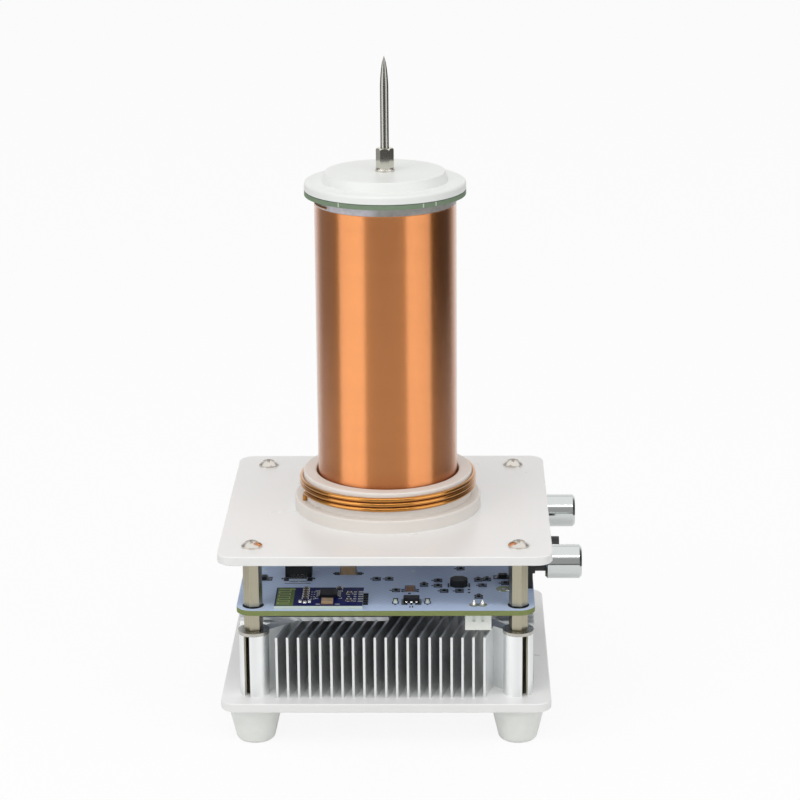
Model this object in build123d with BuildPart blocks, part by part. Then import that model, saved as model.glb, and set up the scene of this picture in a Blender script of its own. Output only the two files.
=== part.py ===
from build123d import *
import os
from math import cos, pi, radians, sin, sqrt

# Desktop resonant transformer: a white acrylic base on four rubber feet, an aluminium heatsink,
# the driver board, a white top plate with the two coils, and a needle electrode on a top load.
# Millimetres. X to the right, Y away from the front, Z up. The floor is Z = 0, and the coils'
# axis stands AXIS_X from the middle of the box, because the two knobs reach out to the right.

os.makedirs("parts", exist_ok=True)

# ---- Fits and clearances ----
SCREW_CLEAR = 0.2         # radial, screw in a plain hole
THREAD_CLEAR = 0.05       # radial, screw in its tapped hole
RUNNING_CLEAR = 0.04      # radial, turning shaft in its bearing
GLUE_GAP = 0.05           # glued or wound on, nearly touching
TUBE_CLEAR = 0.5          # radial, winding inside the former's bore
LOOSE_CLEAR = 0.3         # gap between pieces that only pass each other

# ---- Acrylic plates ----
HOLE_PITCH = 80.0         # the four corner columns stand on this square
PLATE_MARGIN = 10.0       # from the columns' square out to the plates' edges
PLATE_THICK = 2.8
PLATE_CORNER = 5.0
PLATE_EDGE = 0.25         # broken edge of the cut sheet

# ---- Feet ----
FOOT_HEIGHT = 12.0
FOOT_TOP_DIA = 16.0
FOOT_BOTTOM_DIA = 11.3
FOOT_RIM_HEIGHT = 2.0
FOOT_EDGE = 1.6
FOOT_RECESS_DEPTH = 6.0

# ---- Screws, hexagon pillars and washers, all M3 ----
SCREW_DIA = 3.0
HEAD_DIA = 6.4
HEAD_HEIGHT = 1.9
HEAD_RIM = 0.5
CROSS_LENGTH = 3.8
CROSS_WIDTH = 1.0
CROSS_DEPTH = 1.2
CROSS_DRAFT = 12.0        # degrees
SCREW_BITE = 4.5          # length of screw inside its pillar
HEX_FLATS = 5.0
HEX_EDGE = 0.35
HEX_TURN = 12.0           # degrees, how the pillars happened to stop when tightened
STUD_LENGTH = 5.0
STUD_HOLE_EXTRA = 0.6     # a tapped hole is this much deeper than what it takes
WASHER_DIA = 9.5
WASHER_THICK = 1.0
LOWER_PILLAR = 6.0
UPPER_PILLAR = 16.0

# ---- Heatsink, one length of extruded profile ----
SINK_MARGIN = 5.0         # from the columns' square out to the fins' ends
SINK_HEIGHT = 19.5
SINK_POST_DIA = 9.0
SINK_POST_BORE = 6.9
SINK_SLOT = 1.9
SINK_SLOT_TURN = 18.0     # degrees, slot's turn off the diagonal, towards the front or back
SINK_CORE_DIA = 26.0
SINK_ARM_ROOT = 9.0
SINK_ARM_TIP = 3.0
FIN_PITCH = 3.3
FIN_THICK = 0.7
FIN_FIRST_GAP = 2.2       # from a post to the first fin along that side
FIN_LAST_GAP = 4.5        # from the last fin to the next post, at the least
FIN_LEAN = 0.25           # sideways run of a fin for each millimetre inwards

# ---- Circuit board ----
BOARD_MARGIN = 5.0        # from the columns' square out to the board's edges
BOARD_THICK = 1.6
BOARD_CORNER = 5.0

# ---- Primary coil's former and its coil ----
FLANGE_MARGIN = 2.75      # flange beyond the drum
FLANGE_THICK = 4.0
FORMER_WALL = 4.1
FORMER_HEIGHT = 12.0
FORMER_FLOOR = 2.0
FORMER_EDGE = 0.5
WIRE_DIA = 1.1
WIRE_PITCH = 1.53
WIRE_START_HEIGHT = 6.67  # of the first turn's middle, above the top plate
WIRE_TURNS = 2.8
WIRE_START_ANGLE = 200.6  # degrees from +X, where the lower end comes up
WIRE_BEND = 1.3           # bend radius of both ends
POCKET_WIDTH = 4.4
POCKET_LENGTH_IN = 2.0

# ---- Secondary coil ----
TUBE_DIA = 42.7
TUBE_WALL = 1.35
TUBE_LENGTH = 97.3
WINDING_THICK = 0.25
WINDING_START = 3.0       # bare tube left below the winding
WINDING_BARE_TOP = 2.7    # bare tube left above it
BASE_LEAD_DIA = 0.8
BASE_LEAD_INSET = 4.0     # in from the tube's inner wall
BASE_LEAD_ABOVE = 4.0     # its end above the tube's foot

# ---- Top load: board disc, cap, terminal and needle ----
DISC_MARGIN = 3.25        # disc and cap beyond the tube
DISC_THICK = 1.6
CAP_FLANGE_THICK = 2.5
CAP_FLANGE_EDGE = 0.9
CAP_STEP = 5.4            # from the cap's edge in to its raised middle
CAP_TOP_HEIGHT = 2.8
CAP_DRAFT = 0.9           # the raised middle draws in by this much towards its top
CAP_EDGE = 0.3
TERMINAL_WASHER_DIA = 6.0
TERMINAL_WASHER_THICK = 0.9
TERMINAL_WASHER_EDGE = 0.3
TERMINAL_FLATS = 4.7
TERMINAL_HEIGHT = 6.25
TERMINAL_EDGE = 0.7
NEEDLE_DIA = 2.6
NEEDLE_SEAT = 3.5
NEEDLE_STRAIGHT = 17.65
NEEDLE_TAPER = 8.0
NEEDLE_NECK_DIA = 1.3
NEEDLE_TIP = 2.3

# ---- Potentiometers and knobs ----
KNOB_DIA = 10.4
KNOB_LENGTH = 11.1
KNOB_EDGE = 0.7
KNOB_WALL = 2.0
KNOB_GAP = 3.6            # board edge to knob
SHAFT_DIA = 6.0
SHAFT_IN_BODY = 5.0
SHAFT_AXIS_HEIGHT = 7.2   # above the board
POT_WIDTH = 9.8
POT_DEPTH = 7.2
POT_HEIGHT = 12.0
POT_ROUND = 1.0
POT_COLLAR_DIA = 7.6
POT_COLLAR = 0.8
FRONT_POT_Y = -21.1
REAR_POT_Y = 27.6

# ---- Sockets ----
JACK_WIDTH = 6.4
JACK_HEIGHT = 6.0
JACK_LENGTH = 12.0
JACK_AXIS_HEIGHT = 3.4    # above the board
JACK_NOSE_DIA = 6.0
JACK_NOSE = 3.8
JACK_BACK = 1.5           # wall left behind the bore
JACK_OVERHANG = 5.0       # body past the board's edge
JACK_BORE = 3.6
JACK_Y = 4.0
POWER_WIDTH = 9.0
POWER_HEIGHT = 11.0
POWER_LENGTH = 14.0
POWER_BORE = 6.4
POWER_PIN = 2.0
POWER_DEPTH = 9.5
POWER_OVERHANG = 1.0
POWER_ROUND = 2.0
POWER_X = -22.0

# ---- Header under the board ----
HEADER_WIDTH = 7.9
HEADER_DEPTH = 5.7
HEADER_HEIGHT = 5.5
HEADER_WALL = 0.8
HEADER_FROM_RIGHT = 17.1  # in from the board's right edge
HEADER_INSET = 2.4        # behind the board's front edge
HEADER_SLOT = 0.9
PIN_SIDE = 0.64
PIN_PITCH = 2.54
PIN_OUT = 1.2             # pin end above the board

# ---- Heat spreader and power transistors ----
SPREADER_THICK = 1.3
SPREADER_RIGHT = 0.6
SPREADER_SETBACK = 4.25   # behind the post washers' inner edges
TRANSISTOR_WIDTH = 10.0
TRANSISTOR_BODY = 9.2
TRANSISTOR_THICK = 4.4
TAB_LENGTH = 6.4
TAB_THICK = 1.3
LEAD_WIDTH = 0.8
LEAD_THICK = 0.5
LEAD_PITCH = 2.54
LEAD_RUN = 5.0
TRANSISTOR_X = -22.0
TRANSISTOR_Y = (-4.0, 16.0)
TAB_HEAD_HEIGHT = 2.0

# ---- Wireless audio module, soldered flat on the board's front left ----
MODULE_WIDTH = 26.6
MODULE_DEPTH = 16.0
MODULE_THICK = 1.0
MODULE_FROM_LEFT = 11.5   # in from the board's left edge
MODULE_INSET = 1.5        # behind the board's front edge
MODULE_CHIP = 5.3
MODULE_CHIP_THICK = 1.0
MODULE_CHIP_EDGE = 0.15
MODULE_CHIP_AT = (2.8, 1.8)          # from the module's middle
MODULE_CRYSTAL = (3.5, 3.2, 0.9)
MODULE_CRYSTAL_AT = (2.6, -4.9)
MODULE_CHIP_SIZE = (1.5, 1.1, 0.6)
MODULE_COLUMNS = ((-4.2, 2.7, 5, 2.0), (9.1, -0.4, 2, 6.0), (5.9, 7.0, 1, 1.0))  # x, y, count, step
MODULE_PIN_COUNT = 5
MODULE_PIN_PITCH = 2.0
MODULE_PIN_SIZE = (1.5, 0.9, 0.5)

# ---- Parts by the board's front edge: x from the coils' axis and distance behind that edge ----
REGULATOR_AT = (7.75, 8.2)
REGULATOR_SIZE = (4.9, 3.2, 1.5)
REGULATOR_EDGE = 0.2
REGULATOR_LEG = (0.6, 1.5, 0.4)
REGULATOR_LEG_PITCH = 1.5
INDUCTOR_AT = (22.1, 22.4)
INDUCTOR_SIDE = 5.4
INDUCTOR_HEIGHT = 2.1
INDUCTOR_CORNER = 1.4
INDUCTOR_EDGE = 0.3
BROWN_CHIP_SIZE = (3.2, 1.9, 1.4)
BROWN_CHIPS = [(7.2, 17.4)]
SMALL_CHIP_SIZE = (1.7, 0.9, 0.55)
SMALL_CHIPS = [
    (-3.3, 27.8), (0.6, 27.8), (2.9, 17.6), (11.4, 22.4), (15.7, 21.7), (17.6, 17.1),
    (28.1, 26.8), (30.8, 27.2), (29.4, 22.0), (28.1, 11.9), (15.7, 26.3), (22.3, 17.0),
    (36.4, 23.9), (22.7, 37.0),
]
LED_SIZE = (0.9, 1.7, 0.6)
LEDS = [(2.9, 7.6), (12.6, 7.6)]

# ---- Diodes by the board's side edges: distances in from the side and behind the front edge ----
DIODE_SIZE = (3.0, 1.9, 1.1)
LEFT_DIODE_IN = (6.5, 28.0)
RIGHT_DIODE_IN = (9.3, 29.2)

# ---- Parts by the coils: x and y from the coils' axis ----
FILM_CAPACITOR_AT = (-12.25, -11.8)
FILM_CAPACITOR_SIZE = (4.9, 3.4, 2.4)
SWITCH_AT = (-27.6, -12.7)
SWITCH_BODY = (8.2, 5.6, 4.0)
SWITCH_EDGE = 0.4
SWITCH_TAB = (5.4, 4.8, 1.2)
SWITCH_LEG = (1.0, 1.0, 0.6)
SWITCH_LEG_PITCH = 5.08
DRIVER_SIZE = (5.0, 4.0, 1.5)
DRIVER_LEG = (0.45, 1.1, 0.35)
DRIVER_LEG_PITCH = 1.27
DRIVERS = [(6.0, 5.0), (6.0, 21.0)]
STORAGE_CAPACITOR_AT = (14.0, 34.0)
STORAGE_CAPACITOR_DIA = 10.0
STORAGE_CAPACITOR_HEIGHT = 12.5
STORAGE_CAPACITOR_ROUND = 0.5

# ---- Worked out from the above ----
PLATE_SIZE = HOLE_PITCH + 2 * PLATE_MARGIN
BOARD_SIZE = HOLE_PITCH + 2 * BOARD_MARGIN
BOARD_EDGE = BOARD_SIZE / 2
KNOB_START = BOARD_EDGE + KNOB_GAP
REACH_RIGHT = KNOB_START + KNOB_LENGTH
AXIS_X = -(REACH_RIGHT - PLATE_SIZE / 2) / 2

Z_BASE = FOOT_HEIGHT
Z_SINK = Z_BASE + PLATE_THICK
Z_WASHER = Z_SINK + SINK_HEIGHT
Z_LOWER = Z_WASHER + WASHER_THICK
Z_BOARD = Z_LOWER + LOWER_PILLAR
Z_PARTS = Z_BOARD + BOARD_THICK
Z_TOP = Z_PARTS + UPPER_PILLAR
Z_DECK = Z_TOP + PLATE_THICK
Z_TUBE = Z_DECK + FORMER_FLOOR
Z_DISC = Z_TUBE + TUBE_LENGTH
Z_CAP = Z_DISC + DISC_THICK
Z_CAP_STEP = Z_CAP + CAP_FLANGE_THICK
Z_CAP_TOP = Z_CAP_STEP + CAP_TOP_HEIGHT
Z_TERMINAL = Z_CAP_TOP + TERMINAL_WASHER_THICK
Z_NEEDLE = Z_TERMINAL + TERMINAL_HEIGHT - NEEDLE_SEAT

SCREW_R = SCREW_DIA / 2
PLAIN_HOLE_R = SCREW_R + SCREW_CLEAR
TAPPED_R = SCREW_R + THREAD_CLEAR
PIN_HOLE_R = PIN_SIDE / sqrt(2) + SCREW_CLEAR
WINDING_LENGTH = TUBE_LENGTH - WINDING_START - WINDING_BARE_TOP
WINDING_DIA = TUBE_DIA + 2 * (GLUE_GAP + WINDING_THICK)
TUBE_BORE_DIA = TUBE_DIA - 2 * TUBE_WALL
FORMER_BORE_DIA = WINDING_DIA + 2 * TUBE_CLEAR
FORMER_DIA = FORMER_BORE_DIA + 2 * FORMER_WALL
FLANGE_DIA = FORMER_DIA + 2 * FLANGE_MARGIN
DISC_DIA = TUBE_DIA + 2 * DISC_MARGIN
CAP_TOP_DIA = DISC_DIA - 2 * CAP_STEP
COIL_R = FORMER_DIA / 2 + GLUE_GAP + WIRE_DIA / 2
COIL_AXIS = Axis((AXIS_X, 0, 0), (0, 0, 1))
CORNERS = [(x, y) for x in (-HOLE_PITCH / 2, HOLE_PITCH / 2) for y in (-HOLE_PITCH / 2, HOLE_PITCH / 2)]


def level(z, x=0.0, y=0.0):
    """Horizontal plane at height z, with its origin x and y away from the coils' axis."""
    return Plane(origin=(AXIS_X + x, y, z))


def section(z=0.0):
    """Upright plane through the coils' axis, its local x along X and its local y up from z."""
    return Plane(origin=(AXIS_X, 0, z), x_dir=(1, 0, 0), z_dir=(0, -1, 0))


def facing_right(x, y, z):
    """Upright plane that faces +X, its local x along Y and its local y upwards."""
    return Plane(origin=(AXIS_X + x, y, z), x_dir=(0, 1, 0), z_dir=(1, 0, 0))


def facing_back(x, y, z):
    """Upright plane that faces +Y, its local x along -X and its local y upwards."""
    return Plane(origin=(AXIS_X + x, y, z), x_dir=(-1, 0, 0), z_dir=(0, 1, 0))


def keep(name, piece):
    """Label a finished piece and write its file."""
    piece.part.label = name
    export_step(piece.part, "parts/" + name + ".step")


# ---- Feet: tapered rubber, a straight rim under the plate, and a recess for the screw ----
with BuildPart() as foot_form:
    with BuildSketch(Plane.XZ):
        with BuildLine():
            Polyline(
                (0, 0),
                (FOOT_BOTTOM_DIA / 2, 0),
                (FOOT_TOP_DIA / 2, FOOT_HEIGHT - FOOT_RIM_HEIGHT),
                (FOOT_TOP_DIA / 2, FOOT_HEIGHT),
                (0, FOOT_HEIGHT),
                close=True,
            )
        make_face()
    revolve(axis=Axis.Z)
    fillet(foot_form.edges().group_by(Axis.Z)[0], FOOT_EDGE)
    with BuildSketch(Plane.XY):
        Circle(HEAD_DIA / 2 + LOOSE_CLEAR)
    extrude(amount=FOOT_RECESS_DEPTH, mode=Mode.SUBTRACT)
    with BuildSketch(Plane.XY):
        Circle(PLAIN_HOLE_R)
    extrude(amount=FOOT_HEIGHT, mode=Mode.SUBTRACT)

with BuildPart() as feet:
    with Locations(*[level(0, *corner) for corner in CORNERS]):
        add(foot_form.part)
keep("feet", feet)


def round_head_screw(shank):
    """Screw standing at the origin: domed head above z = 0 with a cross recess, shank below it."""
    with BuildPart() as screw:
        with BuildSketch(Plane.XZ):
            with BuildLine():
                Polyline(
                    (0, HEAD_HEIGHT),
                    (0, -shank),
                    (SCREW_R, -shank),
                    (SCREW_R, 0),
                    (HEAD_DIA / 2, 0),
                    (HEAD_DIA / 2, HEAD_RIM),
                )
                TangentArc((0, HEAD_HEIGHT), (HEAD_DIA / 2, HEAD_RIM), tangent=(1, 0))
            make_face()
        revolve(axis=Axis.Z)
        with BuildSketch(Plane.XY.offset(HEAD_HEIGHT)):
            Rectangle(CROSS_LENGTH, CROSS_WIDTH)
            Rectangle(CROSS_WIDTH, CROSS_LENGTH)
        extrude(amount=-CROSS_DEPTH, taper=CROSS_DRAFT, mode=Mode.SUBTRACT)
    return screw.part


# ---- Screws up through the feet into the long pillars ----
foot_screw = round_head_screw(FOOT_HEIGHT - FOOT_RECESS_DEPTH + PLATE_THICK + SCREW_BITE)
with BuildPart() as foot_screws:
    for corner in CORNERS:
        head_seat = level(FOOT_RECESS_DEPTH, *corner).origin
        with Locations(Plane(origin=head_seat, z_dir=(0, 0, -1))):
            add(foot_screw)
keep("foot_screws", foot_screws)


def plate(z):
    """Acrylic sheet with round corners and broken edges, drilled at the four corners."""
    with BuildPart() as sheet:
        with BuildSketch(level(z)):
            RectangleRounded(PLATE_SIZE, PLATE_SIZE, PLATE_CORNER)
        extrude(amount=PLATE_THICK)
        flat_faces = sheet.faces().filter_by(Axis.Z)
        chamfer(flat_faces.edges(), PLATE_EDGE)
        with BuildSketch(level(z)):
            with GridLocations(HOLE_PITCH, HOLE_PITCH, 2, 2):
                Circle(PLAIN_HOLE_R)
        extrude(amount=PLATE_THICK, mode=Mode.SUBTRACT)
    return sheet.part


# ---- Base plate ----
with BuildPart() as base_plate:
    add(plate(Z_BASE))
keep("base_plate", base_plate)

# ---- Heatsink: fins on four sides, leaning the same way round, arms to the corner posts ----
POST_OUT = HOLE_PITCH / 2
SINK_HALF = POST_OUT + SINK_MARGIN
FIN_FIRST = -(POST_OUT - SINK_POST_DIA / 2 - FIN_FIRST_GAP)
FIN_RUN = POST_OUT - SINK_POST_DIA / 2 - FIN_LAST_GAP - FIN_THICK - FIN_FIRST
FIN_COUNT = int(FIN_RUN / FIN_PITCH) + 1
with BuildSketch() as fin_side:
    with Locations((FIN_FIRST + FIN_PITCH * (FIN_COUNT - 1) / 2, 0)):
        with GridLocations(FIN_PITCH, 1, FIN_COUNT, 1):
            Polygon(
                (0, -SINK_HALF),
                (FIN_THICK, -SINK_HALF),
                (FIN_THICK + FIN_LEAN * SINK_HALF, 0),
                (FIN_LEAN * SINK_HALF, 0),
                align=None,
            )
    Polygon((-SINK_HALF, -SINK_HALF), (SINK_HALF, -SINK_HALF), (0, 0), align=None, mode=Mode.INTERSECT)

with BuildPart() as heatsink:
    with BuildSketch(level(Z_SINK)):
        with PolarLocations(0, 4):
            add(fin_side.sketch)
        Circle(SINK_CORE_DIA / 2)
        for angle in (45, 135, 225, 315):
            with Locations(Rotation(0, 0, angle)):
                Polygon(
                    (0, -SINK_ARM_ROOT / 2),
                    (POST_OUT * sqrt(2), -SINK_ARM_TIP / 2),
                    (POST_OUT * sqrt(2), SINK_ARM_TIP / 2),
                    (0, SINK_ARM_ROOT / 2),
                    align=None,
                )
        with Locations(CORNERS):
            Circle(SINK_POST_DIA / 2)
            Circle(SINK_POST_BORE / 2, mode=Mode.SUBTRACT)
        for side, turn in ((225, 1), (315, -1), (45, 1), (135, -1)):
            x, y = POST_OUT * sqrt(2) * cos(radians(side)), POST_OUT * sqrt(2) * sin(radians(side))
            with Locations(Location((x, y), side + turn * SINK_SLOT_TURN)):
                Rectangle(
                    SINK_POST_DIA, SINK_SLOT, align=(Align.MIN, Align.CENTER), mode=Mode.SUBTRACT
                )
    extrude(amount=SINK_HEIGHT)
keep("heatsink", heatsink)


def hex_pillars(z, height):
    """Four hexagon bars with their ends broken, one at each corner."""
    with BuildPart() as bars:
        for x, y in CORNERS:
            turn = HEX_TURN if x < 0 else -HEX_TURN
            with BuildSketch(level(z, x, y)):
                RegularPolygon(HEX_FLATS / 2, 6, major_radius=False, rotation=turn)
            extrude(amount=height)
        chamfer(bars.faces().filter_by(Axis.Z).edges(), HEX_EDGE)
    return bars.part


def corner_rods(z, radius, length):
    """Four round rods from z upwards, or downwards for a negative length, one at each corner."""
    with BuildPart() as rods:
        with BuildSketch(level(z)):
            with GridLocations(HOLE_PITCH, HOLE_PITCH, 2, 2):
                Circle(radius)
        extrude(amount=length)
    return rods.part


# ---- Long pillars inside the heatsink's posts, tapped right through ----
with BuildPart() as post_pillars:
    add(hex_pillars(Z_SINK, SINK_HEIGHT))
    add(corner_rods(Z_SINK, TAPPED_R, SINK_HEIGHT), mode=Mode.SUBTRACT)
keep("post_pillars", post_pillars)

# ---- Washers that clamp the heatsink down ----
with BuildPart() as post_washers:
    with BuildSketch(level(Z_WASHER)):
        with GridLocations(HOLE_PITCH, HOLE_PITCH, 2, 2):
            Circle(WASHER_DIA / 2)
            Circle(PLAIN_HOLE_R, mode=Mode.SUBTRACT)
    extrude(amount=WASHER_THICK)
keep("post_washers", post_washers)

# ---- Short pillars under the board, each with a stud down through its washer ----
UPPER_STUD_IN = STUD_LENGTH - BOARD_THICK
with BuildPart() as lower_pillars:
    add(hex_pillars(Z_LOWER, LOWER_PILLAR))
    add(corner_rods(Z_LOWER, SCREW_R, -STUD_LENGTH))
    add(corner_rods(Z_BOARD, TAPPED_R, -(UPPER_STUD_IN + STUD_HOLE_EXTRA)), mode=Mode.SUBTRACT)
keep("lower_pillars", lower_pillars)

# ---- Pillars between the board and the top plate, each with a stud down through the board ----
with BuildPart() as upper_pillars:
    add(hex_pillars(Z_PARTS, UPPER_PILLAR))
    add(corner_rods(Z_PARTS, SCREW_R, -STUD_LENGTH))
    add(corner_rods(Z_TOP, TAPPED_R, -(SCREW_BITE + STUD_HOLE_EXTRA)), mode=Mode.SUBTRACT)
keep("upper_pillars", upper_pillars)

# ---- Where the coils' three wires pass down to the board ----
START = radians(WIRE_START_ANGLE)
LOWER_LEAD_X = COIL_R * cos(START) + WIRE_BEND * sin(START)
LOWER_LEAD_Y = COIL_R * sin(START) - WIRE_BEND * cos(START)
END = START + 2 * pi * WIRE_TURNS
WIRE_END_HEIGHT = WIRE_START_HEIGHT + WIRE_PITCH * WIRE_TURNS
POCKET_R = FORMER_DIA / 2 - POCKET_LENGTH_IN
UPPER_LEAD_R = POCKET_R + WIRE_DIA / 2 + GLUE_GAP
UPPER_LEAD_X = UPPER_LEAD_R * cos(END) - WIRE_BEND * sin(END)
UPPER_LEAD_Y = UPPER_LEAD_R * sin(END) + WIRE_BEND * cos(END)
WIRE_HOLE_R = WIRE_DIA / 2 + SCREW_CLEAR
BASE_LEAD_X = TUBE_BORE_DIA / 2 - BASE_LEAD_INSET
BASE_LEAD_Y = 0.0
WIRE_HOLES = [(LOWER_LEAD_X, LOWER_LEAD_Y), (UPPER_LEAD_X, UPPER_LEAD_Y)]

# ---- Circuit board: drilled for the pillars, the header's pins and the transistors' leads ----
HEADER_X = BOARD_EDGE - HEADER_FROM_RIGHT
HEADER_Y = -BOARD_EDGE + HEADER_INSET + HEADER_DEPTH / 2
HEADER_PINS = [(HEADER_X - PIN_PITCH / 2, HEADER_Y), (HEADER_X + PIN_PITCH / 2, HEADER_Y)]
LEAD_X = TRANSISTOR_X + TRANSISTOR_BODY / 2 + LEAD_RUN - LEAD_THICK / 2
LEAD_HOLES = [(LEAD_X, y + step * LEAD_PITCH) for y in TRANSISTOR_Y for step in (-1, 0, 1)]
with BuildPart() as circuit_board:
    with BuildSketch(level(Z_BOARD)):
        RectangleRounded(BOARD_SIZE, BOARD_SIZE, BOARD_CORNER)
        with GridLocations(HOLE_PITCH, HOLE_PITCH, 2, 2):
            Circle(PLAIN_HOLE_R, mode=Mode.SUBTRACT)
        with Locations(HEADER_PINS):
            Circle(PIN_HOLE_R, mode=Mode.SUBTRACT)
        with Locations(LEAD_HOLES):
            Circle(LEAD_WIDTH / 2 + SCREW_CLEAR, mode=Mode.SUBTRACT)
    extrude(amount=BOARD_THICK)
keep("circuit_board", circuit_board)

# ---- Top plate ----
with BuildPart() as top_plate:
    add(plate(Z_TOP))
    with BuildSketch(level(Z_TOP)):
        with Locations(WIRE_HOLES):
            Circle(WIRE_HOLE_R)
        with Locations((BASE_LEAD_X, BASE_LEAD_Y)):
            Circle(BASE_LEAD_DIA / 2 + SCREW_CLEAR)
    extrude(amount=PLATE_THICK, mode=Mode.SUBTRACT)
keep("top_plate", top_plate)

# ---- Screws down through the top plate ----
plate_screw = round_head_screw(PLATE_THICK + SCREW_BITE)
with BuildPart() as plate_screws:
    with Locations(*[level(Z_DECK, *corner) for corner in CORNERS]):
        add(plate_screw)
keep("plate_screws", plate_screws)

# ---- Primary former: a flange, a short drum and a bore that the secondary stands in ----
POCKET_DEPTH = FORMER_HEIGHT - WIRE_END_HEIGHT + WIRE_DIA
with BuildPart() as primary_former:
    with BuildSketch(level(Z_DECK)):
        Circle(FLANGE_DIA / 2)
    extrude(amount=FLANGE_THICK)
    with BuildSketch(level(Z_DECK)):
        Circle(FORMER_DIA / 2)
    extrude(amount=FORMER_HEIGHT)
    with BuildSketch(level(Z_TUBE)):
        Circle(FORMER_BORE_DIA / 2)
    extrude(amount=FORMER_HEIGHT, mode=Mode.SUBTRACT)
    top_rim = primary_former.faces().sort_by(Axis.Z)[-1].edges()
    fillet(top_rim, FORMER_EDGE)
    flange_rim = primary_former.edges().filter_by(GeomType.CIRCLE).sort_by(SortBy.RADIUS)[-2:]
    fillet(flange_rim.sort_by(Axis.Z)[-1], FORMER_EDGE)
    with BuildSketch(level(Z_DECK + FORMER_HEIGHT)):
        with Locations(Location((0, 0), WIRE_START_ANGLE + 360 * WIRE_TURNS)):
            with Locations((POCKET_R, WIRE_BEND)):
                Rectangle(FLANGE_DIA, POCKET_WIDTH, align=(Align.MIN, Align.CENTER))
    extrude(amount=-POCKET_DEPTH, mode=Mode.SUBTRACT)
    with BuildSketch(level(Z_DECK)):
        with Locations(WIRE_HOLES):
            Circle(WIRE_HOLE_R)
        with Locations((BASE_LEAD_X, BASE_LEAD_Y)):
            Circle(BASE_LEAD_DIA / 2 + SCREW_CLEAR)
    extrude(amount=FORMER_HEIGHT, mode=Mode.SUBTRACT)
keep("primary_former", primary_former)


# ---- Primary coil: one unbroken length of enamelled wire ----
def helix_point(angle):
    """Point of the coil's middle line, angle in radians from its start."""
    return Vector(
        AXIS_X + COIL_R * cos(START + angle),
        COIL_R * sin(START + angle),
        Z_DECK + WIRE_START_HEIGHT + WIRE_PITCH * angle / (2 * pi),
    )


def helix_tangent(angle):
    """Direction of the coil's middle line at that angle."""
    rise = WIRE_PITCH / (2 * pi)
    return Vector(-COIL_R * sin(START + angle), COIL_R * cos(START + angle), rise).normalized()


def two_arcs(start, start_way, end, end_way):
    """Two arcs, tangent to each other, from start to end with the given directions."""
    span = end - start
    both = start_way + end_way
    a = 2 * (start_way.dot(end_way) - 1)
    b = -2 * span.dot(both)
    c = span.dot(span)
    reach = (-b - sqrt(b * b - 4 * a * c)) / (2 * a)
    first, second = start + start_way * reach, end - end_way * reach
    middle = (first + second) * 0.5
    TangentArc(start, middle, tangent=start_way)
    TangentArc(middle, end, tangent=(second - first).normalized())


QUARTER = pi / 2
UP = Vector(0, 0, 1)
lower_end = Vector(AXIS_X + LOWER_LEAD_X, LOWER_LEAD_Y, Z_DECK + FLANGE_THICK)
lower_bend = Vector(lower_end.X, lower_end.Y, helix_point(0).Z - WIRE_BEND)
last_angle = 2 * pi * WIRE_TURNS
inward = Vector(-cos(END), -sin(END), 0)
upper_bend = helix_point(last_angle) + helix_tangent(last_angle) * WIRE_BEND + inward * WIRE_BEND
upper_end = upper_bend + inward * (COIL_R - WIRE_BEND - POCKET_R - GLUE_GAP)

with BuildPart() as primary_coil:
    with BuildLine() as wire_path:
        Line(lower_end, lower_bend)
        two_arcs(lower_bend, UP, helix_point(0), helix_tangent(0))
        angle = 0.0
        while angle < last_angle - 1e-6:
            step = min(QUARTER, last_angle - angle)
            two_arcs(
                helix_point(angle), helix_tangent(angle),
                helix_point(angle + step), helix_tangent(angle + step),
            )
            angle += step
        two_arcs(helix_point(last_angle), helix_tangent(last_angle), upper_bend, inward)
        Line(upper_bend, upper_end)
    with BuildSketch(Plane(origin=lower_end, z_dir=UP)):
        Circle(WIRE_DIA / 2)
    sweep()
keep("primary_coil", primary_coil)

# The least gap between the coil's passes, measured on points along its whole middle line.
points = [edge.position_at(i / 12) for edge in wire_path.edges() for i in range(12)]
travel = [0.0]
for before, after in zip(points, points[1:]):
    travel.append(travel[-1] + (after - before).length)
apart = [
    (points[i] - points[j]).length
    for i in range(len(points))
    for j in range(i)
    if travel[i] - travel[j] > pi * COIL_R
]
print("primary coil: least gap to itself %.3f mm" % (min(apart) - WIRE_DIA))

# ---- Leads from the primary coil's ends down to the board ----
with BuildPart() as primary_leads:
    with BuildSketch(level(Z_PARTS)):
        with Locations((LOWER_LEAD_X, LOWER_LEAD_Y)):
            Circle(WIRE_DIA / 2)
    extrude(amount=Z_DECK + FLANGE_THICK - Z_PARTS)
    with BuildSketch(level(Z_PARTS)):
        with Locations((UPPER_LEAD_X, UPPER_LEAD_Y)):
            Circle(WIRE_DIA / 2)
    extrude(amount=Z_DECK + WIRE_END_HEIGHT - WIRE_DIA / 2 - GLUE_GAP - Z_PARTS)
keep("primary_leads", primary_leads)

# ---- Secondary tube, its winding and the wire from the winding's foot ----
with BuildPart() as secondary_tube:
    with BuildSketch(level(Z_TUBE)):
        Circle(TUBE_DIA / 2)
        Circle(TUBE_BORE_DIA / 2, mode=Mode.SUBTRACT)
    extrude(amount=TUBE_LENGTH)
keep("secondary_tube", secondary_tube)

with BuildPart() as secondary_winding:
    with BuildSketch(level(Z_TUBE + WINDING_START)):
        Circle(WINDING_DIA / 2)
        Circle(TUBE_DIA / 2 + GLUE_GAP, mode=Mode.SUBTRACT)
    extrude(amount=WINDING_LENGTH)
keep("secondary_winding", secondary_winding)

with BuildPart() as secondary_base_lead:
    with BuildSketch(level(Z_PARTS)):
        with Locations((BASE_LEAD_X, BASE_LEAD_Y)):
            Circle(BASE_LEAD_DIA / 2)
    extrude(amount=Z_TUBE + BASE_LEAD_ABOVE - Z_PARTS)
keep("secondary_base_lead", secondary_base_lead)

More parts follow.
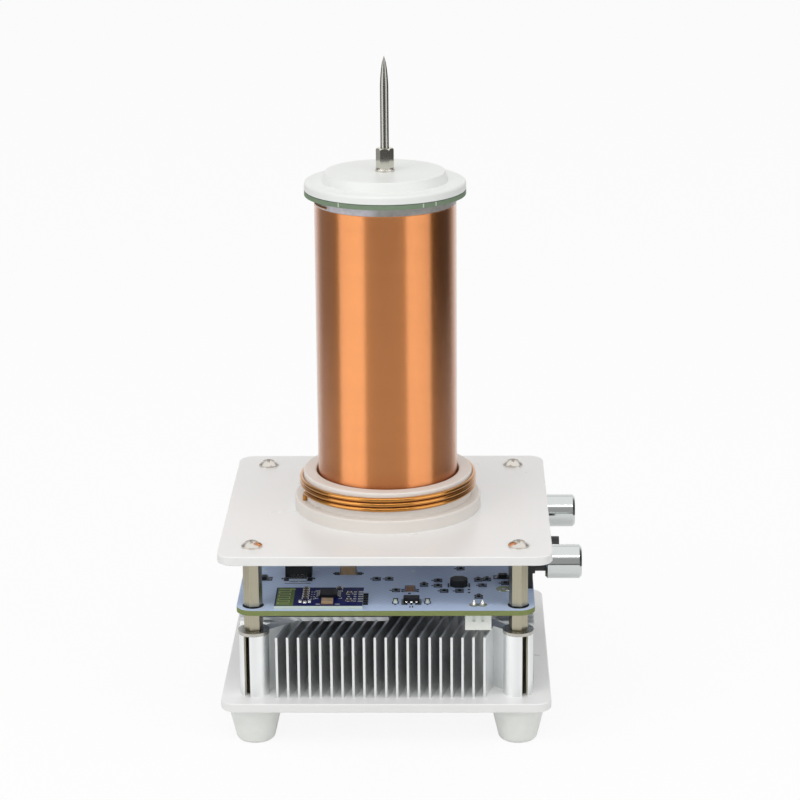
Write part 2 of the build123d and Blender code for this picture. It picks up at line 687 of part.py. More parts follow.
# ---- Top load: glass-fibre disc and white cap ----
with BuildPart() as topload_disc:
    with BuildSketch(level(Z_DISC)):
        Circle(DISC_DIA / 2)
        Circle(PLAIN_HOLE_R, mode=Mode.SUBTRACT)
    extrude(amount=DISC_THICK)
keep("topload_disc", topload_disc)

with BuildPart() as top_cap:
    with BuildSketch(section()):
        with BuildLine():
            Polyline(
                (0, Z_CAP),
                (DISC_DIA / 2, Z_CAP),
                (DISC_DIA / 2, Z_CAP_STEP),
                (CAP_TOP_DIA / 2, Z_CAP_STEP),
                (CAP_TOP_DIA / 2 - CAP_DRAFT, Z_CAP_TOP),
                (0, Z_CAP_TOP),
                close=True,
            )
        make_face()
    revolve(axis=COIL_AXIS)
    rims = top_cap.edges().filter_by(GeomType.CIRCLE).group_by(Axis.Z)
    fillet(rims[-1], CAP_EDGE)
    fillet(rims[1].sort_by(SortBy.RADIUS)[-1], CAP_FLANGE_EDGE)
    with BuildSketch(level(Z_CAP)):
        Circle(PLAIN_HOLE_R)
    extrude(amount=CAP_FLANGE_THICK + CAP_TOP_HEIGHT, mode=Mode.SUBTRACT)
keep("top_cap", top_cap)

# ---- Terminal: washer, hexagon post, the screw up through cap and disc, and the needle ----
with BuildPart() as terminal_washer:
    with BuildSketch(level(Z_CAP_TOP)):
        Circle(TERMINAL_WASHER_DIA / 2)
        Circle(PLAIN_HOLE_R, mode=Mode.SUBTRACT)
    extrude(amount=TERMINAL_WASHER_THICK)
    upper_face = terminal_washer.faces().sort_by(Axis.Z)[-1]
    fillet(upper_face.outer_wire().edges(), TERMINAL_WASHER_EDGE)
keep("terminal_washer", terminal_washer)

TERMINAL_BITE = TERMINAL_HEIGHT - NEEDLE_SEAT - LOOSE_CLEAR
with BuildPart() as terminal_post:
    with BuildSketch(level(Z_TERMINAL)):
        RegularPolygon(TERMINAL_FLATS / 2, 6, major_radius=False)
    extrude(amount=TERMINAL_HEIGHT)
    with BuildSketch(section(Z_TERMINAL)):
        with BuildLine():
            corner_r = TERMINAL_FLATS / sqrt(3)
            edge_start = (corner_r, TERMINAL_HEIGHT - TERMINAL_EDGE)
            edge_end = (corner_r - TERMINAL_EDGE, TERMINAL_HEIGHT)
            Polyline(edge_end, (0, TERMINAL_HEIGHT), (0, 0), (corner_r, 0), edge_start)
            RadiusArc(edge_start, edge_end, -TERMINAL_EDGE)
        make_face()
    revolve(axis=COIL_AXIS, mode=Mode.INTERSECT)
    with BuildSketch(level(Z_NEEDLE)):
        Circle(NEEDLE_DIA / 2 + THREAD_CLEAR)
    extrude(amount=NEEDLE_SEAT, mode=Mode.SUBTRACT)
    with BuildSketch(level(Z_TERMINAL)):
        Circle(TAPPED_R)
    extrude(amount=TERMINAL_BITE, mode=Mode.SUBTRACT)
keep("terminal_post", terminal_post)

TERMINAL_SHANK = Z_TERMINAL - Z_DISC + TERMINAL_BITE - LOOSE_CLEAR
with BuildPart() as terminal_screw:
    with BuildSketch(level(Z_DISC)):
        Circle(SCREW_R)
    extrude(amount=TERMINAL_SHANK)
    with BuildSketch(level(Z_DISC)):
        Circle(HEAD_DIA / 2)
    extrude(amount=-HEAD_HEIGHT)
    chamfer(terminal_screw.faces().sort_by(Axis.Z)[0].edges(), HEAD_RIM)
keep("terminal_screw", terminal_screw)

with BuildPart() as discharge_needle:
    with BuildSketch(section(Z_NEEDLE)):
        with BuildLine():
            shoulder = NEEDLE_SEAT + NEEDLE_STRAIGHT
            neck = shoulder + NEEDLE_TAPER
            Polyline((0, neck + NEEDLE_TIP), (0, 0), (NEEDLE_DIA / 2, 0), (NEEDLE_DIA / 2, shoulder))
            TangentArc((NEEDLE_DIA / 2, shoulder), (NEEDLE_NECK_DIA / 2, neck), tangent=(0, 1))
            Line((NEEDLE_NECK_DIA / 2, neck), (0, neck + NEEDLE_TIP))
        make_face()
    revolve(axis=COIL_AXIS)
keep("discharge_needle", discharge_needle)

# ---- Potentiometers: housings on the board, turning shafts, bright knobs ----
POT_FACE = BOARD_EDGE - LOOSE_CLEAR
Z_SHAFT = Z_PARTS + SHAFT_AXIS_HEIGHT
SHAFT_START = POT_FACE - SHAFT_IN_BODY
KNOB_BORE_END = KNOB_START + KNOB_LENGTH - KNOB_WALL
for side, pot_y in (("front", FRONT_POT_Y), ("rear", REAR_POT_Y)):
    with BuildPart() as potentiometer:
        with BuildSketch(level(Z_PARTS, POT_FACE - POT_DEPTH, pot_y)):
            Rectangle(POT_DEPTH, POT_WIDTH, align=(Align.MIN, Align.CENTER))
        extrude(amount=POT_HEIGHT)
        fillet(potentiometer.edges().filter_by(Axis.X).sort_by(Axis.Z)[-2:], POT_ROUND)
        with BuildSketch(facing_right(POT_FACE, pot_y, Z_SHAFT)):
            Circle(POT_COLLAR_DIA / 2)
        extrude(amount=POT_COLLAR)
        with BuildSketch(facing_right(SHAFT_START - LOOSE_CLEAR, pot_y, Z_SHAFT)):
            Circle(SHAFT_DIA / 2 + RUNNING_CLEAR)
        extrude(amount=SHAFT_IN_BODY + POT_COLLAR + 2 * LOOSE_CLEAR, mode=Mode.SUBTRACT)
    keep(side + "_potentiometer", potentiometer)

    with BuildPart() as shaft:
        with BuildSketch(facing_right(SHAFT_START, pot_y, Z_SHAFT)):
            Circle(SHAFT_DIA / 2)
        extrude(amount=KNOB_BORE_END - LOOSE_CLEAR - SHAFT_START)
    keep(side + "_shaft", shaft)

    with BuildPart() as knob:
        with BuildSketch(facing_right(KNOB_START, pot_y, Z_SHAFT)):
            Circle(KNOB_DIA / 2)
        extrude(amount=KNOB_LENGTH)
        chamfer(knob.edges().filter_by(GeomType.CIRCLE), KNOB_EDGE)
        with BuildSketch(facing_right(KNOB_START, pot_y, Z_SHAFT)):
            Circle(SHAFT_DIA / 2 + GLUE_GAP)
        extrude(amount=KNOB_LENGTH - KNOB_WALL, mode=Mode.SUBTRACT)
    keep(side + "_knob", knob)

# ---- Audio socket ----
Z_JACK = Z_PARTS + JACK_AXIS_HEIGHT
JACK_FACE = BOARD_EDGE + JACK_OVERHANG
with BuildPart() as audio_socket:
    with BuildSketch(level(Z_PARTS, JACK_FACE - JACK_LENGTH, JACK_Y)):
        Rectangle(JACK_LENGTH, JACK_WIDTH, align=(Align.MIN, Align.CENTER))
    extrude(amount=JACK_HEIGHT)
    with BuildSketch(facing_right(JACK_FACE, JACK_Y, Z_JACK)):
        Circle(JACK_NOSE_DIA / 2)
    extrude(amount=JACK_NOSE)
    with BuildSketch(facing_right(JACK_FACE + JACK_NOSE, JACK_Y, Z_JACK)):
        Circle(JACK_BORE / 2)
    extrude(amount=-(JACK_LENGTH + JACK_NOSE - JACK_BACK), mode=Mode.SUBTRACT)
keep("audio_socket", audio_socket)

# ---- Power socket at the back, with its centre pin ----
POWER_FACE = BOARD_EDGE + POWER_OVERHANG
Z_POWER = Z_PARTS + POWER_HEIGHT - POWER_WIDTH / 2
with BuildPart() as power_socket:
    with BuildSketch(level(Z_PARTS, POWER_X, POWER_FACE)):
        Rectangle(POWER_WIDTH, POWER_LENGTH, align=(Align.CENTER, Align.MAX))
    extrude(amount=POWER_HEIGHT)
    fillet(power_socket.edges().filter_by(Axis.Y).sort_by(Axis.Z)[-2:], POWER_ROUND)
    with BuildSketch(facing_back(POWER_X, POWER_FACE, Z_POWER)):
        Circle(POWER_BORE / 2)
        Circle(POWER_PIN / 2, mode=Mode.SUBTRACT)
    extrude(amount=-POWER_DEPTH, mode=Mode.SUBTRACT)
keep("power_socket", power_socket)

# ---- Two-pin header under the board's front edge, open downwards ----
with BuildPart() as header_housing:
    with BuildSketch(level(Z_BOARD, HEADER_X, HEADER_Y)):
        Rectangle(HEADER_WIDTH, HEADER_DEPTH)
    extrude(amount=-HEADER_HEIGHT)
    with BuildSketch(level(Z_BOARD - HEADER_HEIGHT, HEADER_X, HEADER_Y)):
        Rectangle(HEADER_WIDTH - 2 * HEADER_WALL, HEADER_DEPTH - 2 * HEADER_WALL)
    extrude(amount=HEADER_HEIGHT - 2 * HEADER_WALL, mode=Mode.SUBTRACT)
    with BuildSketch(level(Z_BOARD, HEADER_X, HEADER_Y - HEADER_DEPTH / 2)):
        with GridLocations(PIN_PITCH, 1, 2, 1):
            Rectangle(HEADER_SLOT, HEADER_WALL)
    extrude(amount=-HEADER_HEIGHT / 2, mode=Mode.SUBTRACT)
    with BuildSketch(level(Z_BOARD)):
        with Locations(HEADER_PINS):
            Rectangle(PIN_SIDE + GLUE_GAP, PIN_SIDE + GLUE_GAP)
    extrude(amount=-2 * HEADER_WALL, mode=Mode.SUBTRACT)
keep("header_housing", header_housing)

with BuildPart() as header_pins:
    with BuildSketch(level(Z_PARTS + PIN_OUT)):
        with Locations(HEADER_PINS):
            Rectangle(PIN_SIDE, PIN_SIDE)
    extrude(amount=-(PIN_OUT + BOARD_THICK + HEADER_HEIGHT - HEADER_WALL))
keep("header_pins", header_pins)

# ---- Heat spreader on the fins, the power transistors on it and their screws ----
SPREADER_LEFT = -SINK_HALF
SPREADER_DEPTH = HOLE_PITCH - WASHER_DIA - 2 * SPREADER_SETBACK
with BuildPart() as heat_spreader:
    with BuildSketch(level(Z_WASHER)):
        with Locations(((SPREADER_LEFT + SPREADER_RIGHT) / 2, 0)):
            Rectangle(SPREADER_RIGHT - SPREADER_LEFT, SPREADER_DEPTH)
    extrude(amount=SPREADER_THICK)
keep("heat_spreader", heat_spreader)

Z_SPREADER = Z_WASHER + SPREADER_THICK
TAB_SCREW_X = TRANSISTOR_X - TRANSISTOR_BODY / 2 - TAB_LENGTH / 2
with BuildPart() as power_transistors:
    for row_y in TRANSISTOR_Y:
        with BuildSketch(level(Z_SPREADER, TRANSISTOR_X, row_y)):
            Rectangle(TRANSISTOR_BODY, TRANSISTOR_WIDTH)
        extrude(amount=TRANSISTOR_THICK)
        with BuildSketch(level(Z_SPREADER, TAB_SCREW_X, row_y)):
            Rectangle(TAB_LENGTH, TRANSISTOR_WIDTH)
            Circle(PLAIN_HOLE_R, mode=Mode.SUBTRACT)
        extrude(amount=TAB_THICK)
        lead_z = Z_SPREADER + TRANSISTOR_THICK / 2
        for step in (-1, 0, 1):
            y = row_y + step * LEAD_PITCH
            with BuildSketch(level(lead_z, TRANSISTOR_X + TRANSISTOR_BODY / 2, y)):
                Rectangle(LEAD_RUN, LEAD_WIDTH, align=(Align.MIN, Align.CENTER))
            extrude(amount=LEAD_THICK)
            with BuildSketch(level(lead_z, LEAD_X, y)):
                Rectangle(LEAD_THICK, LEAD_WIDTH)
            extrude(amount=Z_PARTS + PIN_OUT - lead_z)
keep("power_transistors", power_transistors)

with BuildPart() as transistor_screws:
    for row_y in TRANSISTOR_Y:
        with BuildSketch(level(Z_SPREADER + TAB_THICK, TAB_SCREW_X, row_y)):
            Circle(HEAD_DIA / 2)
        extrude(amount=TAB_HEAD_HEIGHT)
        with BuildSketch(level(Z_SPREADER + TAB_THICK, TAB_SCREW_X, row_y)):
            Circle(SCREW_R)
        extrude(amount=-TAB_THICK)
keep("transistor_screws", transistor_screws)

# ---- Wireless audio module ----
MODULE_X = -BOARD_EDGE + MODULE_FROM_LEFT + MODULE_WIDTH / 2
MODULE_Y = -BOARD_EDGE + MODULE_INSET + MODULE_DEPTH / 2
Z_MODULE = Z_PARTS + MODULE_THICK
with BuildPart() as wireless_module:
    with BuildSketch(level(Z_PARTS, MODULE_X, MODULE_Y)):
        Rectangle(MODULE_WIDTH, MODULE_DEPTH)
    extrude(amount=MODULE_THICK)
keep("wireless_module", wireless_module)

with BuildPart() as module_chip:
    with BuildSketch(level(Z_MODULE, MODULE_X, MODULE_Y)):
        with Locations(MODULE_CHIP_AT):
            Rectangle(MODULE_CHIP, MODULE_CHIP)
    extrude(amount=MODULE_CHIP_THICK)
    chamfer(module_chip.faces().sort_by(Axis.Z)[-1].edges(), MODULE_CHIP_EDGE)
keep("module_chip", module_chip)

with BuildPart() as module_crystal:
    with BuildSketch(level(Z_MODULE, MODULE_X, MODULE_Y)):
        with Locations(MODULE_CRYSTAL_AT):
            Rectangle(*MODULE_CRYSTAL[:2])
    extrude(amount=MODULE_CRYSTAL[2])
keep("module_crystal", module_crystal)

with BuildPart() as module_chip_parts:
    with BuildSketch(level(Z_MODULE, MODULE_X, MODULE_Y)):
        for column_x, column_y, count, step in MODULE_COLUMNS:
            with Locations((column_x, column_y)):
                with GridLocations(1, step, 1, count):
                    Rectangle(*MODULE_CHIP_SIZE[:2])
    extrude(amount=MODULE_CHIP_SIZE[2])
keep("module_chip_parts", module_chip_parts)

with BuildPart() as module_pins:
    pin_long, pin_wide, pin_thick = MODULE_PIN_SIZE
    with BuildSketch(level(Z_PARTS, MODULE_X + MODULE_WIDTH / 2, MODULE_Y)):
        with GridLocations(1, MODULE_PIN_PITCH, 1, MODULE_PIN_COUNT):
            Rectangle(pin_long, pin_wide, align=(Align.MIN, Align.CENTER))
    extrude(amount=pin_thick)
keep("module_pins", module_pins)


def behind_edge(place, dy=0.0):
    """Plane on the board's face at an x and a distance behind its front edge."""
    return level(Z_PARTS, place[0], -BOARD_EDGE + place[1] + dy)


def by_coils(place, dy=0.0):
    """Plane on the board's face at an x and y from the coils' axis."""
    return level(Z_PARTS, place[0], place[1] + dy)


# ---- Voltage regulator, body and legs ----
with BuildPart() as voltage_regulator:
    wide, deep, high = REGULATOR_SIZE
    leg_wide, leg_long, leg_thick = REGULATOR_LEG
    with BuildSketch(behind_edge(REGULATOR_AT)):
        Rectangle(wide, deep)
    extrude(amount=high)
    chamfer(voltage_regulator.faces().sort_by(Axis.Z)[-1].edges(), REGULATOR_EDGE)
    with BuildSketch(behind_edge(REGULATOR_AT, dy=-deep / 2)):
        with GridLocations(REGULATOR_LEG_PITCH, 1, 3, 1):
            Rectangle(leg_wide, leg_long, align=(Align.CENTER, Align.MAX))
    extrude(amount=leg_thick)
keep("voltage_regulator", voltage_regulator)

# ---- Power inductor, a square block with cut corners ----
with BuildPart() as power_inductor:
    with BuildSketch(behind_edge(INDUCTOR_AT)) as inductor_outline:
        Rectangle(INDUCTOR_SIDE, INDUCTOR_SIDE)
        chamfer(inductor_outline.vertices(), INDUCTOR_CORNER)
    extrude(amount=INDUCTOR_HEIGHT)
    chamfer(power_inductor.faces().sort_by(Axis.Z)[-1].edges(), INDUCTOR_EDGE)
keep("power_inductor", power_inductor)

# ---- Film capacitor ----
with BuildPart() as film_capacitor:
    with BuildSketch(by_coils(FILM_CAPACITOR_AT)):
        Rectangle(*FILM_CAPACITOR_SIZE[:2])
    extrude(amount=FILM_CAPACITOR_SIZE[2])
keep("film_capacitor", film_capacitor)

# ---- Switching transistor on the board, its metal tab towards the front ----
with BuildPart() as switching_transistor:
    wide, deep, high = SWITCH_BODY
    with BuildSketch(by_coils(SWITCH_AT)):
        Rectangle(wide, deep)
    extrude(amount=high)
    chamfer(switching_transistor.faces().sort_by(Axis.Z)[-1].edges(), SWITCH_EDGE)
keep("switching_transistor", switching_transistor)

with BuildPart() as switching_transistor_tab:
    with BuildSketch(by_coils(SWITCH_AT, dy=-SWITCH_BODY[1] / 2)):
        Rectangle(*SWITCH_TAB[:2], align=(Align.CENTER, Align.MAX))
    extrude(amount=SWITCH_TAB[2])
    with BuildSketch(by_coils(SWITCH_AT, dy=SWITCH_BODY[1] / 2)):
        with GridLocations(SWITCH_LEG_PITCH, 1, 2, 1):
            Rectangle(*SWITCH_LEG[:2], align=(Align.CENTER, Align.MIN))
    extrude(amount=SWITCH_LEG[2])
keep("switching_transistor_tab", switching_transistor_tab)


def blocks(name, size, places):
    """One plain block of that size at each x and distance behind the board's front edge."""
    with BuildPart() as row:
        with BuildSketch(*[behind_edge(place) for place in places]):
            Rectangle(*size[:2])
        extrude(amount=size[2])
    keep(name, row)


# ---- Small surface parts ----
blocks("ceramic_capacitors", BROWN_CHIP_SIZE, BROWN_CHIPS)
blocks("chip_resistors", SMALL_CHIP_SIZE, SMALL_CHIPS)
left_diode = (-BOARD_EDGE + LEFT_DIODE_IN[0], LEFT_DIODE_IN[1])
right_diode = (BOARD_EDGE - RIGHT_DIODE_IN[0], RIGHT_DIODE_IN[1])
blocks("diodes", DIODE_SIZE, [left_diode, right_diode])
blocks("indicator_lamps", LED_SIZE, LEDS)

# ---- Gate driver chips, under the coils ----
with BuildPart() as driver_chips:
    wide, deep, high = DRIVER_SIZE
    leg_wide, leg_long, leg_thick = DRIVER_LEG
    for place in DRIVERS:
        with BuildSketch(by_coils(place)):
            Rectangle(wide, deep)
        extrude(amount=high)
        with BuildSketch(by_coils(place)):
            with GridLocations(DRIVER_LEG_PITCH, deep + leg_long, 4, 2):
                Rectangle(leg_wide, leg_long)
        extrude(amount=leg_thick)
keep("driver_chips", driver_chips)

# ---- Storage capacitor, an upright can ----
with BuildPart() as storage_capacitor:
    with BuildSketch(by_coils(STORAGE_CAPACITOR_AT)):
        Circle(STORAGE_CAPACITOR_DIA / 2)
    extrude(amount=STORAGE_CAPACITOR_HEIGHT)
    fillet(storage_capacitor.faces().sort_by(Axis.Z)[-1].edges(), STORAGE_CAPACITOR_ROUND)
keep("storage_capacitor", storage_capacitor)
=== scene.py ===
from collections import namedtuple
from math import atan2, cos, pi, radians, sin, tau

import bmesh
import bpy
from mathutils import Matrix, Vector, noise


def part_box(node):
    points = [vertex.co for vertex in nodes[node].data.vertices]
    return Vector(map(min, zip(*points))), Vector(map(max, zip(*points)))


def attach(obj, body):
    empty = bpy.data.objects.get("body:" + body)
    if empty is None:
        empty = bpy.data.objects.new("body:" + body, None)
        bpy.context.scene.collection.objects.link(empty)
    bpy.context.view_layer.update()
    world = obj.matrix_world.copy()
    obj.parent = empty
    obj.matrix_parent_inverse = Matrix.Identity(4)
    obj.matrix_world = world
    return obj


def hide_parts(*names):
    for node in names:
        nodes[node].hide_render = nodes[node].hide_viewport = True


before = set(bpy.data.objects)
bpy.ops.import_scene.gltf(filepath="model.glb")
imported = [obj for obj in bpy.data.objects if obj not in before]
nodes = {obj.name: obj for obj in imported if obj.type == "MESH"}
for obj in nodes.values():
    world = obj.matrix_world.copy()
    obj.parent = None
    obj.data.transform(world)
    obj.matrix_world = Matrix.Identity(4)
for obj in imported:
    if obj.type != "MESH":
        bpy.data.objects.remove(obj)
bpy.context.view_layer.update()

MM = 0.001
CHASSIS = "chassis"
UP = Vector((0, 0, 1))


# ---- What the model's own boxes give ----
def box_mm(node):
    """A node's lowest and highest corners in millimetres."""
    low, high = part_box(node)
    return low / MM, high / MM


def solids_mm(node):
    """The boxes of a node's separate solids in millimetres, as (middle, size)."""
    mesh = bmesh.new()
    mesh.from_mesh(nodes[node].data)
    bmesh.ops.remove_doubles(mesh, verts=mesh.verts, dist=1e-6)
    left = set(mesh.verts)
    boxes = []
    while left:
        queue = [left.pop()]
        corners = []
        while queue:
            vert = queue.pop()
            corners.append(vert.co / MM)
            for edge in vert.link_edges:
                other = edge.other_vert(vert)
                if other in left:
                    left.discard(other)
                    queue.append(other)
        low = Vector([min(corner[axis] for corner in corners) for axis in range(3)])
        high = Vector([max(corner[axis] for corner in corners) for axis in range(3)])
        boxes.append(((low + high) / 2, high - low))
    mesh.free()
    return sorted(boxes, key=lambda item: (round(item[0].x, 2), round(item[0].y, 2)))


tube_low, tube_high = box_mm("secondary_tube")
AXIS_X = (tube_low.x + tube_high.x) / 2      # the coils' axis
Z_DECK = box_mm("top_plate")[1].z
Z_BOARD = box_mm("circuit_board")[1].z
BOARD_EDGE = box_mm("circuit_board")[1].y
Z_MODULE = box_mm("wireless_module")[1].z


def on_board(x, y, above=0.0):
    """A place on the board, from the coils' axis, that many millimetres above its face."""
    return Vector((AXIS_X + x, y, Z_BOARD + above))


# ---- Node helpers ----
def socket(sockets, identifier):
    """The socket with that identifier."""
    return next(item for item in sockets if item.identifier == identifier)


def add(tree, kind, settings=None, inputs=None, to=None):
    """Add a node with its settings. An input is a value, a socket, or a node whose first output is
    used; to is the (node, input) that its own first output goes to."""
    node = tree.nodes.new(kind)
    for name, value in (settings or {}).items():
        setattr(node, name, value)
    for name, value in (inputs or {}).items():
        end = socket(node.inputs, name)
        if isinstance(value, bpy.types.Node):
            value = next(item for item in value.outputs if item.enabled)
        if isinstance(value, bpy.types.NodeSocket):
            tree.links.new(value, end)
        else:
            end.default_value = value
    if to:
        tree.links.new(next(item for item in node.outputs if item.enabled), socket(to[0].inputs, to[1]))
    return node


def linear(colour):
    """A hex sRGB colour as linear red, green, blue and alpha."""
    parts = [int(colour[i : i + 2], 16) / 255 for i in (0, 2, 4)]
    return [part / 12.92 if part <= 0.04045 else ((part + 0.055) / 1.055) ** 2.4 for part in parts] + [1.0]


def grains(size):
    """The texture scale that gives features of that many millimetres."""
    return 1 / (size * MM)


Finish = namedtuple("Finish", "made tree shader place")


def material(name, colour, roughness, **values):
    """Start a finish; the shader's own sockets hold what is the same all over."""
    made = bpy.data.materials.new(name)
    made.use_nodes = True
    tree = made.node_tree
    shader = tree.nodes["Principled BSDF"]
    shader.inputs["Base Color"].default_value = linear(colour)
    shader.inputs["Roughness"].default_value = roughness
    for key, value in values.items():
        shader.inputs[key.replace("_", " ")].default_value = value
    return Finish(made, tree, shader, add(tree, "ShaderNodeTexCoord").outputs["Object"])


def pattern(finish, size, drawn=None, detail=2.0, shades=None, gloss=None, relief=None):
    """Lay a pattern on a finish and give it back. Its features are that many millimetres wide, and
    longer along the axes that drawn makes small. It may run the colour from one shade to another and
    the roughness from one value to another, and raise a relief of (strength, millimetres)."""
    tree = finish.tree
    place = finish.place
    if drawn:
        place = add(tree, "ShaderNodeMapping", inputs={"Vector": place, "Scale": drawn})
    cloud = add(tree, "ShaderNodeTexNoise", inputs={
        "Vector": place, "Scale": grains(size), "Detail": detail})
    if shades:
        add(tree, "ShaderNodeMix", {"data_type": "RGBA"}, {
            "Factor_Float": cloud, "A_Color": linear(shades[0]), "B_Color": linear(shades[1])},
            to=(finish.shader, "Base Color"))
    if gloss:
        add(tree, "ShaderNodeMapRange", inputs={"Value": cloud, "To Min": gloss[0], "To Max": gloss[1]},
            to=(finish.shader, "Roughness"))
    if relief:
        add(tree, "ShaderNodeBump", inputs={
            "Height": cloud, "Strength": relief[0], "Distance": relief[1] * MM},
            to=(finish.shader, "Normal"))
    return cloud


def facing_up(tree):
    """How far a face looks up: 1 on top, 0 on an upright side and -1 underneath."""
    facing = add(tree, "ShaderNodeNewGeometry")
    return add(tree, "ShaderNodeSeparateXYZ", inputs={"Vector": facing.outputs["Normal"]}).outputs["Z"]


def cut_edges(tree, up):
    """1 on a sheet's upright, cut edges and 0 on its level faces."""
    level = add(tree, "ShaderNodeMath", {"operation": "ABSOLUTE"}, {"Value": up})
    return add(tree, "ShaderNodeMath", {"operation": "LESS_THAN"}, {"Value": level, "Value_001": 0.5})


# ---- Finishes ----
def cast_acrylic():
    """Opal cast acrylic: glossy faces with a faint haze 12 mm across, and saw-cut edges whose teeth
    left marks 0.4 mm apart. The edges are a shade darker: painted shade, partly a saw cut's real dullness."""
    finish = material("cast_acrylic_opal", "ECECEB", 0.3, IOR=1.49)
    tree = finish.tree
    haze = pattern(finish, 12.0, gloss=(0.24, 0.36))
    opal = add(tree, "ShaderNodeMix", {"data_type": "RGBA"}, {
        "Factor_Float": haze, "A_Color": linear("EBEBEA"), "B_Color": linear("EFEFEE")})
    # Painted shade: upright faces take a darker colour than the level ones.
    add(tree, "ShaderNodeMix", {"data_type": "RGBA"}, {
        "Factor_Float": cut_edges(tree, facing_up(tree)), "A_Color": opal, "B_Color": linear("E4E4E3")},
        to=(finish.shader, "Base Color"))
    pattern(finish, 0.4, drawn=(1, 1, 0.05), relief=(0.4, 0.01))
    return finish.made


def moulded_abs():
    """White injection-moulded ABS: satin, with a spark-eroded grain of 0.3 mm and slow shade
    changes 8 mm across where the wall cooled unevenly."""
    finish = material("moulded_abs_white", "F0F2EF", 0.42, IOR=1.53)
    pattern(finish, 8.0, shades=("ECEEEB", "F2F4F1"), gloss=(0.36, 0.5))
    pattern(finish, 0.3, relief=(0.5, 0.008))
    return finish.made


def moulded_nylon():
    """Milky moulded nylon of the primary's former: warmer and duller than ABS, with cloudy shade
    changes 10 mm across and a 0.4 mm grain."""
    finish = material("moulded_nylon_milky", "E6E1DA", 0.45, IOR=1.53)
    pattern(finish, 10.0, shades=("E3DDD6", "E9E4DE"))
    pattern(finish, 0.4, relief=(0.5, 0.008))
    return finish.made


def silicone_rubber():
    """White silicone rubber feet: soft and dull, a little dusty, with a 0.5 mm moulding grain."""
    finish = material("silicone_rubber_white", "E4E6E2", 0.6, IOR=1.41)
    pattern(finish, 3.0, detail=5.0, shades=("DEE0DC", "E9EBE7"))
    pattern(finish, 0.5, relief=(0.6, 0.012))
    return finish.made


def extruded_aluminium():
    """Extruded and lightly etched aluminium: bright, with die lines 0.35 mm apart down the length
    of the profile, so its upright faces streak and its sawn top stays even."""
    finish = material("extruded_aluminium", "F6F7F7", 0.4, Metallic=1.0)
    pattern(finish, 0.35, drawn=(1, 1, 0.02), detail=3.0, shades=("F2F4F4", "F9FAFA"), gloss=(0.32, 0.5),
            relief=(0.5, 0.01))
    return finish.made


def rolled_aluminium():
    """Rolled aluminium sheet: bright, with rolling lines 0.3 mm apart from side to side and a few
    handling scuffs 5 mm across."""
    finish = material("rolled_aluminium", "DADCDE", 0.28, Metallic=1.0)
    tree = finish.tree
    lines = pattern(finish, 0.3, drawn=(0.02, 1, 1), relief=(0.4, 0.006))
    scuffs = pattern(finish, 5.0, detail=6.0)
    both = add(tree, "ShaderNodeMath", {"operation": "MULTIPLY"}, {"Value": lines, "Value_001": scuffs})
    add(tree, "ShaderNodeMapRange", inputs={
        "Value": both, "From Max": 0.5, "To Min": 0.18, "To Max": 0.42}, to=(finish.shader, "Roughness"))
    return finish.made


def nickel_on_brass():
    """Nickel-plated hexagon brass: warm grey, with drawing lines 0.4 mm apart along the bar."""
    finish = material("nickel_plated_brass", "B5AF9A", 0.3, Metallic=1.0)
    pattern(finish, 0.4, drawn=(1, 1, 0.02), detail=3.0, shades=("A8A28C", "C0BBA8"), gloss=(0.2, 0.4),
            relief=(0.5, 0.01))
    return finish.made


def polished_nickel():
    """Nickel-plated and polished terminal post: near mirror and warm, its gloss a little uneven
    every 0.8 mm."""
    finish = material("polished_nickel_plate", "DAD7CC", 0.13, Metallic=1.0)
    pattern(finish, 0.8, gloss=(0.1, 0.16))
    return finish.made


def nickel_on_steel():
    """Nickel-plated steel screws: bright, with the plating's orange peel of 0.6 mm."""
    finish = material("nickel_plated_steel", "D8D3CC", 0.16, Metallic=1.0)
    pattern(finish, 0.6, gloss=(0.1, 0.24), relief=(0.3, 0.006))
    return finish.made


def tumbled_steel():
    """Zinc-plated and tumbled steel washers: grey, with fine nicks 0.4 mm across."""
    finish = material("zinc_plated_steel", "BEBCB4", 0.26, Metallic=1.0)
    pattern(finish, 0.4, detail=4.0, gloss=(0.18, 0.38), relief=(0.5, 0.008))
    return finish.made


def ground_steel():
    """Ground needle steel: grey with a soft shine, and grinding rings 0.2 mm apart round the axis."""
    finish = material("polished_needle_steel", "9E9D97", 0.24, Metallic=1.0)
    pattern(finish, 0.2, drawn=(0.03, 0.03, 1), gloss=(0.2, 0.3))
    return finish.made


def turned_aluminium():
    """Turned and bright-plated aluminium knobs: near mirror, with tool rings 0.25 mm apart along
    the knob's axis that soften its reflections."""
    finish = material("bright_turned_aluminium", "D2D6D5", 0.1, Metallic=1.0)
    pattern(finish, 0.25, drawn=(1, 0.02, 0.02), gloss=(0.07, 0.16), relief=(0.3, 0.003))
    return finish.made


def fine_enamelled_copper():
    """Hair-thin enamelled copper wire: saturated orange-brown metal under a clear, glossy enamel.
    The shade drifts a little from layer to layer, every 6 mm up the coil."""
    finish = material("enamelled_copper_fine", "D38546", 0.22, Metallic=1.0, Coat_Weight=0.95,
                      Coat_Roughness=0.14, Coat_IOR=1.55)
    pattern(finish, 6.0, drawn=(0.03, 0.03, 1), detail=6.0, shades=("CE8142", "D8894A"))
    return finish.made


def thick_enamelled_copper():
    """Thick enamelled copper wire: amber enamel over copper, with drawing streaks 0.2 mm wide and
    10 mm long round the coil, drawn flat because the turns are nearly level."""
    finish = material("enamelled_copper_thick", "C18231", 0.2, Metallic=1.0, Coat_Weight=0.8,
                      Coat_Roughness=0.06, Coat_IOR=1.5)
    pattern(finish, 0.2, drawn=(0.02, 0.02, 1), shades=("B67728", "CB8C39"), gloss=(0.16, 0.28))
    return finish.made


